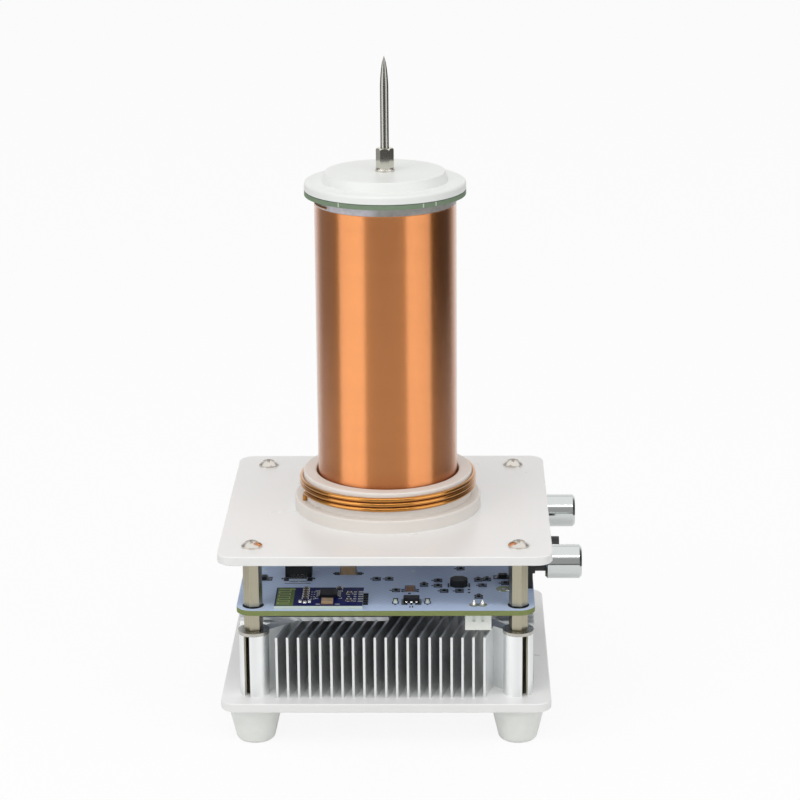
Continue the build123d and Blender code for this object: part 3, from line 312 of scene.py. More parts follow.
def milky_tube():
    """Extruded milky plastic tube: satin, faintly violet, with slow streaks down its length."""
    finish = material("milky_tube_plastic", "CBC8D0", 0.35, IOR=1.5)
    pattern(finish, 3.0, drawn=(1, 1, 0.1), shades=("BDBAC3", "D8D6DC"))
    return finish.made


def solder_mask(name, mask, shaded_underside, edge_dark, edge_light, weave):
    """Glass-fibre board under satin solder mask: the weave shows faintly through the mask, the
    underside takes a darker colour as painted shade, and the cut edge shows the layers of
    glass and epoxy, 0.2 mm each."""
    finish = material(name, mask, 0.4, IOR=1.55, Specular_IOR_Level=0.08)
    tree = finish.tree
    up = facing_up(tree)
    cut = cut_edges(tree, up)
    edge = add(tree, "ShaderNodeMix", {"data_type": "RGBA"}, {
        "Factor_Float": pattern(finish, 0.2, drawn=(0.1, 0.1, 1)), "A_Color": linear(edge_dark),
        "B_Color": linear(edge_light)})
    # Painted shade: faces looking down take the darker underside colour.
    under = add(tree, "ShaderNodeMath", {"operation": "LESS_THAN"}, {"Value": up, "Value_001": -0.5})
    sides = add(tree, "ShaderNodeMix", {"data_type": "RGBA"}, {
        "Factor_Float": under, "A_Color": linear(mask), "B_Color": linear(shaded_underside)})
    cloth = add(tree, "ShaderNodeTexChecker", inputs={
        "Vector": finish.place, "Scale": grains(weave), "Color1": linear("FFFFFF"),
        "Color2": linear("FAFAFA")})
    face = add(tree, "ShaderNodeMix", {"data_type": "RGBA", "blend_type": "MULTIPLY"}, {
        "Factor_Float": 1.0, "A_Color": sides, "B_Color": cloth})
    add(tree, "ShaderNodeMix", {"data_type": "RGBA"}, {
        "Factor_Float": cut, "A_Color": face, "B_Color": edge}, to=(finish.shader, "Base Color"))
    add(tree, "ShaderNodeMapRange", inputs={"Value": cut, "To Min": 0.38, "To Max": 0.6},
        to=(finish.shader, "Roughness"))
    return finish.made


def glass_filled_nylon():
    """Black glass-filled nylon mouldings: satin, with a spark-eroded grain of 0.3 mm."""
    finish = material("glass_filled_nylon_black", "18191B", 0.42, IOR=1.53)
    pattern(finish, 2.0, gloss=(0.34, 0.52))
    pattern(finish, 0.3, relief=(0.6, 0.012))
    return finish.made


def moulded_epoxy():
    """Black moulded epoxy of chips: dull blue-black, with a 0.2 mm grain."""
    finish = material("moulded_epoxy_black", "0D1117", 0.5, IOR=1.57, Specular_IOR_Level=0.35)
    pattern(finish, 0.2, shades=("0A0D12", "12161D"), relief=(0.5, 0.008))
    return finish.made


def reflowed_tin():
    """Reflowed solder and tinned leads: bright, wavy at 0.5 mm."""
    finish = material("reflowed_tin", "E8E8E4", 0.22, Metallic=1.0)
    pattern(finish, 0.5, gloss=(0.12, 0.34), relief=(0.6, 0.02))
    return finish.made


def dull_shaded_solder():
    """Lead-free solder and plated ends of small parts: satin and frosted at 0.4 mm, and painted grey as
    painted shade, darker than the bright tin.
    """
    finish = material("dull_shaded_solder", "7A8188", 0.42, Metallic=1.0)
    pattern(finish, 0.4, shades=("636A72", "959CA3"), gloss=(0.32, 0.5), relief=(0.4, 0.01))
    return finish.made


def shade_darkened_tin():
    """Tinned pins painted grey-black metal as painted shade, with a 0.5 mm mottle of shade and gloss."""
    finish = material("shade_darkened_tin", "34373B", 0.4, Metallic=1.0)
    pattern(finish, 0.5, shades=("26292D", "454A50"), gloss=(0.3, 0.55))
    return finish.made


def fired_ceramic(name, dark, light):
    """Fired ceramic of chip capacitors: smooth, with a faint body mottle of 0.6 mm."""
    finish = material(name, dark, 0.4, IOR=1.6)
    pattern(finish, 0.6, shades=(dark, light))
    return finish.made


def polyester_film():
    """Tan film capacitor case: smooth and warm, with a cloudy shade 1 mm across."""
    finish = material("polyester_film_tan", "A88C69", 0.36, IOR=1.55)
    pattern(finish, 1.0, shades=("9C815F", "B59976"))
    return finish.made


def natural_nylon():
    """Natural nylon header: cool white and waxy, with a 0.4 mm grain."""
    finish = material("natural_nylon", "DDE0D9", 0.4, IOR=1.53)
    pattern(finish, 0.4, shades=("D8DCD4", "E3E6DF"), relief=(0.4, 0.008))
    return finish.made


def lamp_silicone():
    """Clear silicone over pale phosphor: soft gloss, whiter where the layer is thin."""
    finish = material("indicator_silicone", "DFE8D2", 0.25, IOR=1.41)
    pattern(finish, 0.6, shades=("F4F8EE", "E2ECC9"))
    return finish.made


def drawn_can():
    """Drawn aluminium can of a capacitor: satin, with drawing lines 0.4 mm apart up its side."""
    finish = material("drawn_aluminium_can", "D2D4D5", 0.3, Metallic=1.0)
    pattern(finish, 0.4, drawn=(1, 1, 0.03), gloss=(0.22, 0.4))
    return finish.made


def legend_ink(name, dark, light):
    """Screen-printed legend ink: matt and slightly uneven, with 0.3 mm patches."""
    finish = material(name, dark, 0.6, IOR=1.5)
    pattern(finish, 0.3, shades=(dark, light))
    return finish.made


def masked_copper(name, dark, light):
    """Copper foil under solder mask: a shade off the bare mask and glossy, with a 0.5 mm mottle."""
    finish = material(name, dark, 0.28, IOR=1.55)
    pattern(finish, 0.5, shades=(dark, light))
    return finish.made


def bare_laminate(name, dark, light):
    """Bare glass-fibre laminate without mask or foil: matt, with a mottle of fibres 0.4 mm across."""
    finish = material(name, dark, 0.55, IOR=1.55)
    pattern(finish, 0.4, shades=(dark, light))
    return finish.made


# Where the glue's painted shade starts on the left, and where it is full, to the right.
GLUE_SHADE_FROM = AXIS_X - 4.5
GLUE_SHADE_FULL = AXIS_X - 1.0


def milky_glue():
    """Milky set glue: glossy, lumpy at 1.5 mm and cloudy pale; painted shade darkens it and turns it
    greener towards the right."""
    finish = material("milky_glue", "CFCCD4", 0.2, IOR=1.46)
    tree = finish.tree
    lumps = pattern(finish, 1.5, detail=3.0, relief=(0.5, 0.08))
    cloudy = add(tree, "ShaderNodeMix", {"data_type": "RGBA"}, {
        "Factor_Float": lumps, "A_Color": linear("B3B0BA"), "B_Color": linear("E3E1E7")})
    parts = add(tree, "ShaderNodeSeparateXYZ", inputs={"Vector": finish.place})
    # Painted shade: the glue darkens and turns greener towards the right.
    shade_ramp = add(tree, "ShaderNodeMapRange", inputs={
        "Value": parts.outputs["X"], "From Min": GLUE_SHADE_FROM * MM, "From Max": GLUE_SHADE_FULL * MM})
    add(tree, "ShaderNodeMix", {"data_type": "RGBA", "blend_type": "MULTIPLY"}, {
        "Factor_Float": shade_ramp, "A_Color": cloudy, "B_Color": linear("CCCBC0")},
        to=(finish.shader, "Base Color"))
    return finish.made


ACRYLIC = cast_acrylic()
MOULDED = moulded_abs()
MILKY = moulded_nylon()
RUBBER = silicone_rubber()
EXTRUDED = extruded_aluminium()
SHEET = rolled_aluminium()
BRASS = nickel_on_brass()
POLISHED = polished_nickel()
STEEL = nickel_on_steel()
WASHER = tumbled_steel()
NEEDLE = ground_steel()
KNOB = turned_aluminium()
FINE_COPPER = fine_enamelled_copper()
THICK_COPPER = thick_enamelled_copper()
TUBE = milky_tube()
# Each board's second colour is its underside's painted shade; the blue module's underside keeps the mask
# colour.
# The white mask's blue tint is painted: it stands for the cool shade and reflections on the board.
WHITE_BOARD = solder_mask("solder_mask_white", "C4D5F2", "A3AEC0", "6F7848", "87915E", 1.2)
GREEN_BOARD = solder_mask("solder_mask_green", "3E5A46", "2F4636", "71846F", "87987F", 1.0)
BLUE_BOARD = solder_mask("solder_mask_blue", "061056", "061056", "BCCABF", "D3DDD4", 0.8)
BLACK = glass_filled_nylon()
EPOXY = moulded_epoxy()
TIN = reflowed_tin()
DULL_SHADED = dull_shaded_solder()
# Painted shade: the module's pins are painted grey-black.
DARK_TIN = shade_darkened_tin()
CERAMIC = fired_ceramic("fired_ceramic_brown", "6C4D39", "8A684F")
DARK_CERAMIC = fired_ceramic("fired_ceramic_dark", "4A4038", "62564A")
TAN = polyester_film()
NYLON = natural_nylon()
LENS = lamp_silicone()
CAN = drawn_can()
BLACK_INK = legend_ink("legend_ink_black", "0E1218", "1B212A")
WHITE_INK = legend_ink("legend_ink_white", "CFD4DA", "E4E7EA")
# The tracks under the white mask carry its painted blue tint.
TRACKS = masked_copper("masked_copper_white", "B7C9E8", "C2D3F0")
ANTENNA = bare_laminate("bare_laminate_green", "526A20", "627B2B")
FINGERS = masked_copper("masked_copper_green", "8C9E4E", "9FB060")
OLIVE = masked_copper("masked_copper_olive", "7C8660", "929B78")
SNAPPED = bare_laminate("snapped_laminate", "BCC6B8", "CCD5C8")
# A dark green used only for painted shadow lines: at the disc's upper edge and beside the antenna's track.
PAINTED_SHADE_GREEN = bare_laminate("painted_shade_green", "24382A", "2E4535")
GLUE = milky_glue()

FINISH_OF = {
    ACRYLIC: ["base_plate", "top_plate"],
    MOULDED: ["top_cap"],
    MILKY: ["primary_former"],
    RUBBER: ["feet"],
    EXTRUDED: ["heatsink"],
    SHEET: ["heat_spreader"],
    BRASS: ["post_pillars", "lower_pillars", "upper_pillars"],
    POLISHED: ["terminal_post"],
    STEEL: ["foot_screws", "plate_screws", "terminal_washer", "terminal_screw", "transistor_screws"],
    WASHER: ["post_washers"],
    NEEDLE: ["discharge_needle"],
    KNOB: ["front_knob", "rear_knob"],
    FINE_COPPER: ["secondary_winding", "secondary_base_lead"],
    THICK_COPPER: ["primary_coil", "primary_leads"],
    TUBE: ["secondary_tube"],
    WHITE_BOARD: ["circuit_board"],
    GREEN_BOARD: ["topload_disc"],
    BLUE_BOARD: ["wireless_module"],
    BLACK: ["front_potentiometer", "rear_potentiometer", "front_shaft", "rear_shaft", "audio_socket",
            "power_socket"],
    EPOXY: ["power_transistors", "module_chip", "voltage_regulator", "power_inductor",
            "switching_transistor", "chip_resistors", "diodes", "driver_chips"],
    TIN: ["header_pins", "switching_transistor_tab"],
    DARK_TIN: ["module_pins"],
    CERAMIC: ["ceramic_capacitors"],
    DARK_CERAMIC: ["module_chip_parts"],
    TAN: ["film_capacitor", "module_crystal"],
    NYLON: ["header_housing"],
    LENS: ["indicator_lamps"],
    CAN: ["storage_capacitor"],
}
for made, names in FINISH_OF.items():
    for name in names:
        for place in nodes[name].material_slots:
            place.material = made


# ---- Mesh helpers ----
def linked(name, data):
    """A new object in the scene."""
    thing = bpy.data.objects.new(name, data)
    bpy.context.scene.collection.objects.link(thing)
    return thing


def keep(name, mesh, made, body=CHASSIS, sharp=40.0):
    """Make a riding piece from a mesh in millimetres, smooth but for edges sharper than that angle."""
    mesh.transform(Matrix.Scale(MM, 4))
    mesh.materials.clear()
    mesh.materials.append(made)
    mesh.shade_smooth()
    mesh.set_sharp_from_angle(angle=radians(sharp))
    piece = linked(name, mesh)
    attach(piece, body)
    return piece


def plain_mesh(thing):
    """A plain mesh of an object with its modifiers or bevel carried out; the object is removed."""
    bpy.context.view_layer.update()
    seen = thing.evaluated_get(bpy.context.evaluated_depsgraph_get())
    mesh = bpy.data.meshes.new_from_object(seen)
    bpy.data.objects.remove(thing)
    return mesh


def wire_mesh(route, thickness, rounding):
    """Round wire along a route, its ends closed; rounding is the curve's bevel resolution."""
    path = bpy.data.curves.new("wire", "CURVE")
    path.dimensions = "3D"
    path.bevel_depth = thickness / 2
    path.bevel_resolution = rounding
    path.use_fill_caps = True
    line = path.splines.new("POLY")
    line.points.add(len(route) - 1)
    for point, place in zip(line.points, route):
        point.co = (*place, 1)
    return plain_mesh(linked("wire", path))


def block(rounding):
    """A block of side 1 on z = 0 with its edges broken."""
    mesh = bmesh.new()
    bmesh.ops.create_cube(mesh, size=1.0, matrix=Matrix.Translation((0, 0, 0.5)))
    bmesh.ops.bevel(mesh, geom=mesh.edges[:], offset=rounding, segments=1, affect="EDGES", profile=0.5)
    return mesh


def set_down(name, mesh):
    """A mesh of that name from a mesh being built, which is let go."""
    done = bpy.data.meshes.new(name)
    mesh.to_mesh(done)
    mesh.free()
    return done


def join(mesh, here, there):
    """Faces between two closed rows of as many corners."""
    count = len(here)
    for i in range(count):
        mesh.faces.new((here[i], here[(i + 1) % count], there[(i + 1) % count], there[i]))


def extruded(outline, half_width):
    """A closed outline in X and Z, given width along Y."""
    mesh = bmesh.new()
    near = [mesh.verts.new((x, -half_width, z)) for x, z in outline]
    far = [mesh.verts.new((x, half_width, z)) for x, z in outline]
    join(mesh, near, far)
    mesh.faces.new(near[::-1])
    mesh.faces.new(far)
    bmesh.ops.recalc_face_normals(mesh, faces=mesh.faces[:])
    return mesh


def solder_fillet():
    """Solder beside a part of height 1: its face runs down to +X in a hollow curve."""
    return extruded([(0, 0), (0, 1.0), (0.12, 0.62), (0.3, 0.34), (0.55, 0.15), (1.0, 0.03), (1.0, 0)], 0.5)


def gull_lead():
    """A chip's lead, 1 long and 1 high, stepping down to +X."""
    return extruded([(-0.1, 0.62), (0.28, 0.62), (0.55, 0.0), (1.0, 0.0), (1.0, 0.22), (0.66, 0.22),
                     (0.38, 0.86), (-0.1, 0.86)], 0.5)


def turned(profile, sides):
    """A shape turned round Z from (radius, height) points; a ring's points end where they began."""
    mesh = bmesh.new()
    rings = []
    for radius, height in profile:
        count = 1 if radius < 1e-6 else sides
        rings.append([mesh.verts.new((radius * cos(tau * i / sides), radius * sin(tau * i / sides), height))
                      for i in range(count)])
    for lower, upper in zip(rings, rings[1:]):
        for i in range(sides):
            corners = []
            for row, step in ((lower, i), (lower, i + 1), (upper, i + 1), (upper, i)):
                if row[step % len(row)] not in corners:
                    corners.append(row[step % len(row)])
            mesh.faces.new(corners)
    bmesh.ops.remove_doubles(mesh, verts=mesh.verts, dist=1e-5)
    bmesh.ops.recalc_face_normals(mesh, faces=mesh.faces[:])
    return mesh


def dome():
    """A low dome of radius 0.5 and height 1 on z = 0."""
    return turned([(0, 0), (0.5, 0), (0.47, 0.3), (0.36, 0.7), (0.18, 0.94), (0, 1.0)], 12)


def solder_cone():
    """Solder round a pin: radius 0.5 at z = 0, drawn up to a blunt point at 1."""
    return turned([(0, 0), (0.5, 0), (0.36, 0.16), (0.24, 0.4), (0.17, 0.72), (0.12, 0.94), (0, 1.0)], 14)


def ring(bore):
    """A flat ring of radius 0.5 and height 1 with a bore of that radius."""
    return turned([(bore, 0), (0.5, 0), (0.5, 1), (bore, 1), (bore, 0)], 28)


# ---- Geometry trees ----
def new_tree(name, inputs, output):
    """Start a geometry tree with its named sockets; gives the tree and the sockets of its inputs."""
    tree = bpy.data.node_groups.new(name, "GeometryNodeTree")
    for label, kind in inputs.items():
        tree.interface.new_socket(label, in_out="INPUT", socket_type=kind)
    tree.interface.new_socket(output, in_out="OUTPUT", socket_type="NodeSocketGeometry")
    return tree, add(tree, "NodeGroupInput").outputs


def end_tree(tree, shape, finish, output):
    """End a geometry tree with real meshes in their finish."""
    real = add(tree, "GeometryNodeRealizeInstances", inputs={"Geometry": shape})
    dressed = add(tree, "GeometryNodeSetMaterial", inputs={"Geometry": real, "Material": finish})
    tree.links.new(dressed.outputs["Geometry"], tree.nodes.new("NodeGroupOutput").inputs[output])
    return tree


def grown(points, tree, values):
    """The plain mesh that a geometry tree makes of some points, its inputs set by their identifiers."""
    carrier = linked("carrier", points)
    modifier = carrier.modifiers.new("tree", "NODES")
    modifier.node_group = tree
    for item in tree.interface.items_tree:
        if item.item_type == "SOCKET" and item.in_out == "INPUT" and item.name in values:
            modifier[item.identifier] = values[item.name]
    return plain_mesh(carrier)


# ---- One shape set out at many places, each with its own size and turn ----
def set_out_tree():
    """Geometry nodes: an object on every point, scaled by the point's size and turned by its turn."""
    tree, start = new_tree("set_out", {
        "Places": "NodeSocketGeometry", "Shape": "NodeSocketObject",
        "Finish": "NodeSocketMaterial"}, "Pieces")
    shape = add(tree, "GeometryNodeObjectInfo", inputs={"Object": start["Shape"]})
    size = add(tree, "GeometryNodeInputNamedAttribute", {"data_type": "FLOAT_VECTOR"}, {"Name": "size"})
    turn = add(tree, "GeometryNodeInputNamedAttribute", {"data_type": "FLOAT_VECTOR"}, {"Name": "turn"})
    spread = add(tree, "GeometryNodeInstanceOnPoints", inputs={
        "Points": start["Places"],
        "Instance": shape.outputs["Geometry"],
        "Rotation": turn.outputs["Attribute"],
        "Scale": size.outputs["Attribute"],
    })
    return end_tree(tree, spread, start["Finish"], "Pieces")


SET_OUT = set_out_tree()


def set_out(name, shape, places, made, body=CHASSIS, sharp=40.0):
    """One piece made of a shape at every place: (foot, size) or (foot, size, turn in degrees)."""
    points = bpy.data.meshes.new(name + "_places")
    points.from_pydata([place[0] for place in places], [], [])
    size = points.attributes.new("size", "FLOAT_VECTOR", "POINT")
    turn = points.attributes.new("turn", "FLOAT_VECTOR", "POINT")
    for i, place in enumerate(places):
        size.data[i].vector = place[1]
        turn.data[i].vector = (0, 0, radians(place[2]) if len(place) > 2 else 0)
    sample = linked(name + "_shape", set_down(name + "_shape", shape))
    mesh = grown(points, SET_OUT, {"Shape": sample, "Finish": made})
    bpy.data.objects.remove(sample)
    return keep(name, mesh, made, body, sharp)


# ---- Secondary winding: one layer of fine wire, each turn bedded in varnish ----
WINDING_PITCH = 0.2        # about the real wire's thickness
WINDING_STEPS = 48         # straight steps in one turn
BULGE = 0.02               # how far each turn stands out of the varnish
BULGE_TOP = 0.36           # the share of the pitch that its outer side is wide


def winding_tree():
    """Geometry nodes: a close spiral of wire that shows only its low bulge above the varnish."""
    tree, start = new_tree("close_winding", {
        "Turns": "NodeSocketFloat", "Steps": "NodeSocketInt", "Radius": "NodeSocketFloat",
        "Height": "NodeSocketFloat", "Pitch": "NodeSocketFloat", "Bulge": "NodeSocketFloat",
        "Foot": "NodeSocketVector", "Finish": "NodeSocketMaterial"}, "Winding")
    path = add(tree, "GeometryNodeCurveSpiral", inputs={
        "Resolution": start["Steps"], "Rotations": start["Turns"], "Start Radius": start["Radius"],
        "End Radius": start["Radius"], "Height": start["Height"], "Reverse": True})
    upright = add(tree, "GeometryNodeSetCurveNormal", {"mode": "Z_UP"}, {"Curve": path})
    # The profile is a flat bead: a wide back against the tube and a narrower bulge outside.
    narrow = add(tree, "ShaderNodeMath", {"operation": "MULTIPLY"}, {
        "Value": start["Pitch"], "Value_001": BULGE_TOP})
    section = add(tree, "GeometryNodeCurvePrimitiveQuadrilateral", {"mode": "TRAPEZOID"}, {
        "Height": start["Bulge"], "Bottom Width": start["Pitch"], "Top Width": narrow, "Offset": 0.0})
    outwards = add(tree, "GeometryNodeTransform", inputs={"Geometry": section, "Rotation": (0, 0, -pi / 2)})
    wire = add(tree, "GeometryNodeCurveToMesh", inputs={
        "Curve": upright, "Profile Curve": outwards, "Fill Caps": True})
    placed = add(tree, "GeometryNodeTransform", inputs={"Geometry": wire, "Translation": start["Foot"]})
    return end_tree(tree, placed, start["Finish"], "Winding")


winding_low, winding_high = box_mm("secondary_winding")
WINDING_RADIUS = (winding_high.y - winding_low.y) / 2
WINDING_FOOT = winding_low.z
WINDING_TOP = winding_high.z
winding_height = WINDING_TOP - WINDING_FOOT - WINDING_PITCH
winding = grown(bpy.data.meshes.new("winding_path"), winding_tree(), {
    "Turns": winding_height / WINDING_PITCH,
    "Steps": WINDING_STEPS,
    "Radius": WINDING_RADIUS - BULGE / 2,
    "Height": winding_height,
    "Pitch": WINDING_PITCH,
    "Bulge": BULGE,
    "Foot": (AXIS_X, 0, WINDING_FOOT + WINDING_PITCH / 2),
    "Finish": FINE_COPPER,
})
secondary_turns = keep("secondary_turns", winding, FINE_COPPER, sharp=80)
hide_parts("secondary_winding")

# ---- Primary coil: one length of thick enamelled wire, on the same path as its solid ----
WIRE = 1.42                # fuller than its solid, so that the turns all but touch
TURN_RISE = 1.53
TURNS = 2.8
START_ANGLE = radians(200.6)
START_HEIGHT = 6.67        # of the first turn's middle above the top plate
BEND = 1.3
BEND_STEPS = 8
COIL_RADIUS = 26.85
STUB_FOOT = 4.0            # where the lower end meets its lead, above the top plate
TURN_STEPS = 96


def coil_place(angle):
    """A point of the coil's middle line, the angle counted from its start."""
    at = START_ANGLE + angle
    rise = START_HEIGHT + TURN_RISE * angle / tau
    return Vector((AXIS_X + COIL_RADIUS * cos(at), COIL_RADIUS * sin(at), Z_DECK + rise))


def coil_way(angle):
    """The level direction in which the wire runs there."""
    at = START_ANGLE + angle
    return Vector((-sin(at), cos(at), 0))


def quarter_bend(middle, first, second):
    """Points of a quarter turn of radius BEND, from one side of its middle to the other."""
    steps = [pi / 2 * i / BEND_STEPS for i in range(BEND_STEPS + 1)]
    return [middle + BEND * (first * cos(step) + second * sin(step)) for step in steps]


end_angle = tau * TURNS
inward = Vector((-cos(START_ANGLE + end_angle), -sin(START_ANGLE + end_angle), 0))
route = quarter_bend(coil_place(0) - UP * BEND, -coil_way(0), UP)
route.insert(0, Vector((route[0].x, route[0].y, Z_DECK + STUB_FOOT)))
route += [coil_place(tau * i / TURN_STEPS) for i in range(1, round(TURN_STEPS * TURNS))]
route += quarter_bend(coil_place(end_angle) + inward * BEND, -inward, coil_way(end_angle))
route.append(route[-1] + inward * BEND)
primary_turns = keep("primary_turns", wire_mesh(route, WIRE, 4), THICK_COPPER, sharp=60)
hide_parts("primary_coil")


# ---- Glue and varnish on the secondary ----
BEAD_STEPS = 120           # straight steps round the tube
BEAD_LUMPS = 2.5           # the size of the lumps in its face
LUMP_RISE = 0.6            # how far they stand up, as a share of how far they stand out


def round_bead(name, outline, made, wobble):
    """A bead round the secondary from (radius, height) points; its face wanders by that many millimetres."""
    mesh = bmesh.new()
    rows = []
    for i in range(BEAD_STEPS):
        at = tau * i / BEAD_STEPS
        row = []
        for radius, height in outline:
            place = Vector((cos(at), sin(at), 0)) * radius + UP * height
            lump = noise.noise(place / BEAD_LUMPS) * wobble
            row.append(mesh.verts.new((AXIS_X + (radius + lump) * cos(at), (radius + lump) * sin(at),
                                       height + lump * LUMP_RISE)))
        rows.append(row)
    for here, there in zip(rows, rows[1:] + rows[:1]):
        join(mesh, here, there)
    bmesh.ops.recalc_face_normals(mesh, faces=mesh.faces[:])
    return keep(name, set_down(name, mesh), made, sharp=60)


TUBE_RADIUS = (tube_high.y - tube_low.y) / 2
Z_DISC = box_mm("topload_disc")[0].z
# Outlines of beads: how far out from the tube, and how far up from the disc or the winding's end.
GLUE_AT_DISC = ((-0.2, 0.1), (1.1, 0.1), (0.7, -0.35), (0.4, -0.9), (0.32, -1.7))
GLUE_AT_WINDING = ((0.3, 0.1), (-0.2, -0.1))
VARNISH_OUTLINE = ((-0.1, -0.25), (0.1, -0.25), (0.31, -0.05), (0.31, 0.1), (-0.1, 0.2))


def beside_tube(outline, height):
    """An outline's points as (radius, height)."""
    return [(TUBE_RADIUS + out, height + up) for out, up in outline]


round_bead("disc_glue", beside_tube(GLUE_AT_DISC, Z_DISC) + beside_tube(GLUE_AT_WINDING, WINDING_TOP),
           GLUE, 0.12)
for name, height in (("lower_varnish", WINDING_FOOT), ("upper_varnish", WINDING_TOP)):
    round_bead(name, beside_tube(VARNISH_OUTLINE, height), FINE_COPPER, 0.03)


# ---- Fine details of the boards, set out from the parts they belong to ----
BOTH = (-1, 1)            # the two sides of a part
TURNED = {-1: 180, 1: 0}  # how a shape that points to +X is turned on either side
PAD = 0.05                # how far tinned pads stand out
INK = 0.03                # how far ink and foil do
INK_LINE = 0.36           # a line of ink that runs back
LEVEL_LINE = 0.72         # one from side to side, drawn wider because it is seen at a low angle
LINE_ENDS = 0.6           # of its width, by which a line is longer, so that corners close
TIN_COAT = Vector((0.03, 0.05, 0.04))       # how much larger a tinned end is than its part
PAD_MARGIN = 0.3          # how much wider a pad is than its part
FILLET_WIDTH = 0.9        # of the part's width
FILLET_RISE = 0.75        # of the part's height


def round_axis(radius, angle, height):
    """A place round the coils' axis, its angle in degrees from the front towards the right."""
    at = radians(angle - 90)
    return Vector((AXIS_X + radius * cos(at), radius * sin(at), height))


def over(middle, height, x=0.0, y=0.0):
    """A place at that height over or under a part's middle, moved by x and y."""
    return Vector((middle.x + x, middle.y + y, height))


def both_ends(parts):
    """Both ends of every part along X, as (side, middle, size)."""
    return [(side, middle, size) for middle, size in parts for side in BOTH]


def end_caps(parts, length):
    """Tinned ends of chip parts."""
    return [(over(middle, middle.z - size.z / 2, side * (size.x - length) / 2),
             Vector((length, size.y, size.z)) + TIN_COAT) for side, middle, size in both_ends(parts)]


def pads(parts, reach, height):
    """Tinned pads under both ends of chip parts, reaching out past them."""
    return [(over(middle, height, side * size.x / 2), (2 * reach, size.y + PAD_MARGIN, PAD))
            for side, middle, size in both_ends(parts)]


def fillets(parts, reach):
    """Solder running down from both ends of chip parts."""
    return [(over(middle, middle.z - size.z / 2 + PAD / 2, side * size.x / 2),
             (reach, size.y * FILLET_WIDTH, size.z * FILLET_RISE), TURNED[side])
            for side, middle, size in both_ends(parts)]


def side_leads(part, count, pitch, lead, height):
    """A chip's leads down both of its sides."""
    middle, size = part
    return [(over(middle, height, side * size.x / 2, (i - (count - 1) / 2) * pitch), lead, TURNED[side])
            for i in range(count) for side in BOTH]


def stroke(start, end, width, thick, height):
    """A flat bar from one place to another, as (foot, size, turn)."""
    run = Vector(end) - Vector(start)
    middle = (Vector(start) + Vector(end)) / 2
    return (Vector((middle.x, middle.y, height)), (run.length + width * LINE_ENDS, width, thick),
            atan2(run.y, run.x) * 180 / pi)


def corners_round(middle, half, height, opening, width):
    """Ink corners round a part; opening is the share of each side that is left out in the middle."""
    lines = []
    for side_x in BOTH:
        for side_y in BOTH:
            corner = over(middle, height, side_x * half.x, side_y * half.y)
            for way in ((side_x * half.x, 0), (0, side_y * half.y)):
                start = corner.xy - Vector(way) * (1 - opening)
                lines.append(stroke(start, corner.xy, width, INK, height))
    return lines


solids = {node: solids_mm(node) for node in (
    "chip_resistors", "ceramic_capacitors", "diodes", "film_capacitor", "voltage_regulator", "power_inductor",
    "indicator_lamps", "driver_chips", "header_pins", "upper_pillars", "module_chip", "module_chip_parts",
    "module_pins")}
tab = max(solids_mm("switching_transistor_tab"), key=lambda part: part[1].x)
solids["switching_transistor_tab"] = [tab]
chip = solids["module_chip"][0]
module_low, module_high = box_mm("wireless_module")

# How long the tinned ends are, and how far solder and pads reach out past them.
END_LENGTH = {"chip_resistors": 0.42, "ceramic_capacitors": 0.5, "diodes": 0.34, "film_capacitor": 0.22}
SOLDER_REACH = {"chip_resistors": 0.4, "ceramic_capacitors": 0.4, "diodes": 0.7, "film_capacitor": 0.35}
PAD_REACH = {"chip_resistors": 0.45, "ceramic_capacitors": 0.45, "diodes": 0.9, "voltage_regulator": 0.6}
MODULE_END = 0.34
MODULE_SOLDER = 0.25
MODULE_PAD = 0.3
# The small parts' tinned ends, solder and pads take the grey solder: painted shade.
set_out("chip_ends", block(0.1), [
    cap for node, length in END_LENGTH.items() for cap in end_caps(solids[node], length)],
        DULL_SHADED)
set_out("solder_fillets", solder_fillet(), [
    fillet for node, reach in SOLDER_REACH.items() for fillet in fillets(solids[node], reach)],
        DULL_SHADED, sharp=50)
set_out("chip_pads", block(0.1), [
    pad for node, reach in PAD_REACH.items() for pad in pads(solids[node], reach, Z_BOARD)],
        DULL_SHADED)
small_parts = solids["module_chip_parts"]
set_out("module_chip_ends", block(0.1), end_caps(small_parts, MODULE_END), TIN)
set_out("module_fillets", solder_fillet(), fillets(small_parts, MODULE_SOLDER), TIN, sharp=50)
set_out("module_chip_pads", block(0.1), pads(small_parts, MODULE_PAD, Z_MODULE), TIN)

# Pads and solder round the header's pins, and the bare olive pads at the right and under those joints.
JOINT_PAD = (2.0, 2.0, PAD)
JOINT_CONE = (2.2, 2.2, 1.55)
JOINT_GROUND = (2.9, 3.2, PAD * 0.6)
GROUND_FORWARD = 0.2      # how far it lies before its pin
LOOSE_PAD = (35.8, -26.2)
LOOSE_SIZE = (4.7, 4.9, PAD)
LOOSE_BLOBS = ((1.2, -1.5, (1.3, 1.0, 0.3)), (-1.2, -1.7, (0.8, 0.7, 0.2)))    # from that pad, and size
MODULE_BLOBS = ((-5.6, -4.3), (-4.2, -4.9), (-2.8, -4.3))      # from the module's middle
MODULE_BLOB = (1.3, 1.7, 0.6)
pins = [middle for middle, size in solids["header_pins"]]
set_out("ring_pads", ring(0.24), [(over(pin, Z_BOARD), JOINT_PAD) for pin in pins], TIN)
set_out("olive_pads", ring(0.1), [(on_board(*LOOSE_PAD), LOOSE_SIZE)] + [
    (over(pin, Z_BOARD, y=-GROUND_FORWARD), JOINT_GROUND) for pin in pins], OLIVE)
set_out("header_solder", solder_cone(), [(over(pin, Z_BOARD + PAD), JOINT_CONE) for pin in pins],
        TIN, sharp=60)
module_middle = (module_low + module_high) / 2
set_out("solder_domes", dome(), [
    (on_board(LOOSE_PAD[0] + x, LOOSE_PAD[1] + y, PAD), size) for x, y, size in LOOSE_BLOBS] + [
    (over(module_middle, Z_MODULE, x, y), MODULE_BLOB) for x, y in MODULE_BLOBS],
        TIN, sharp=60)

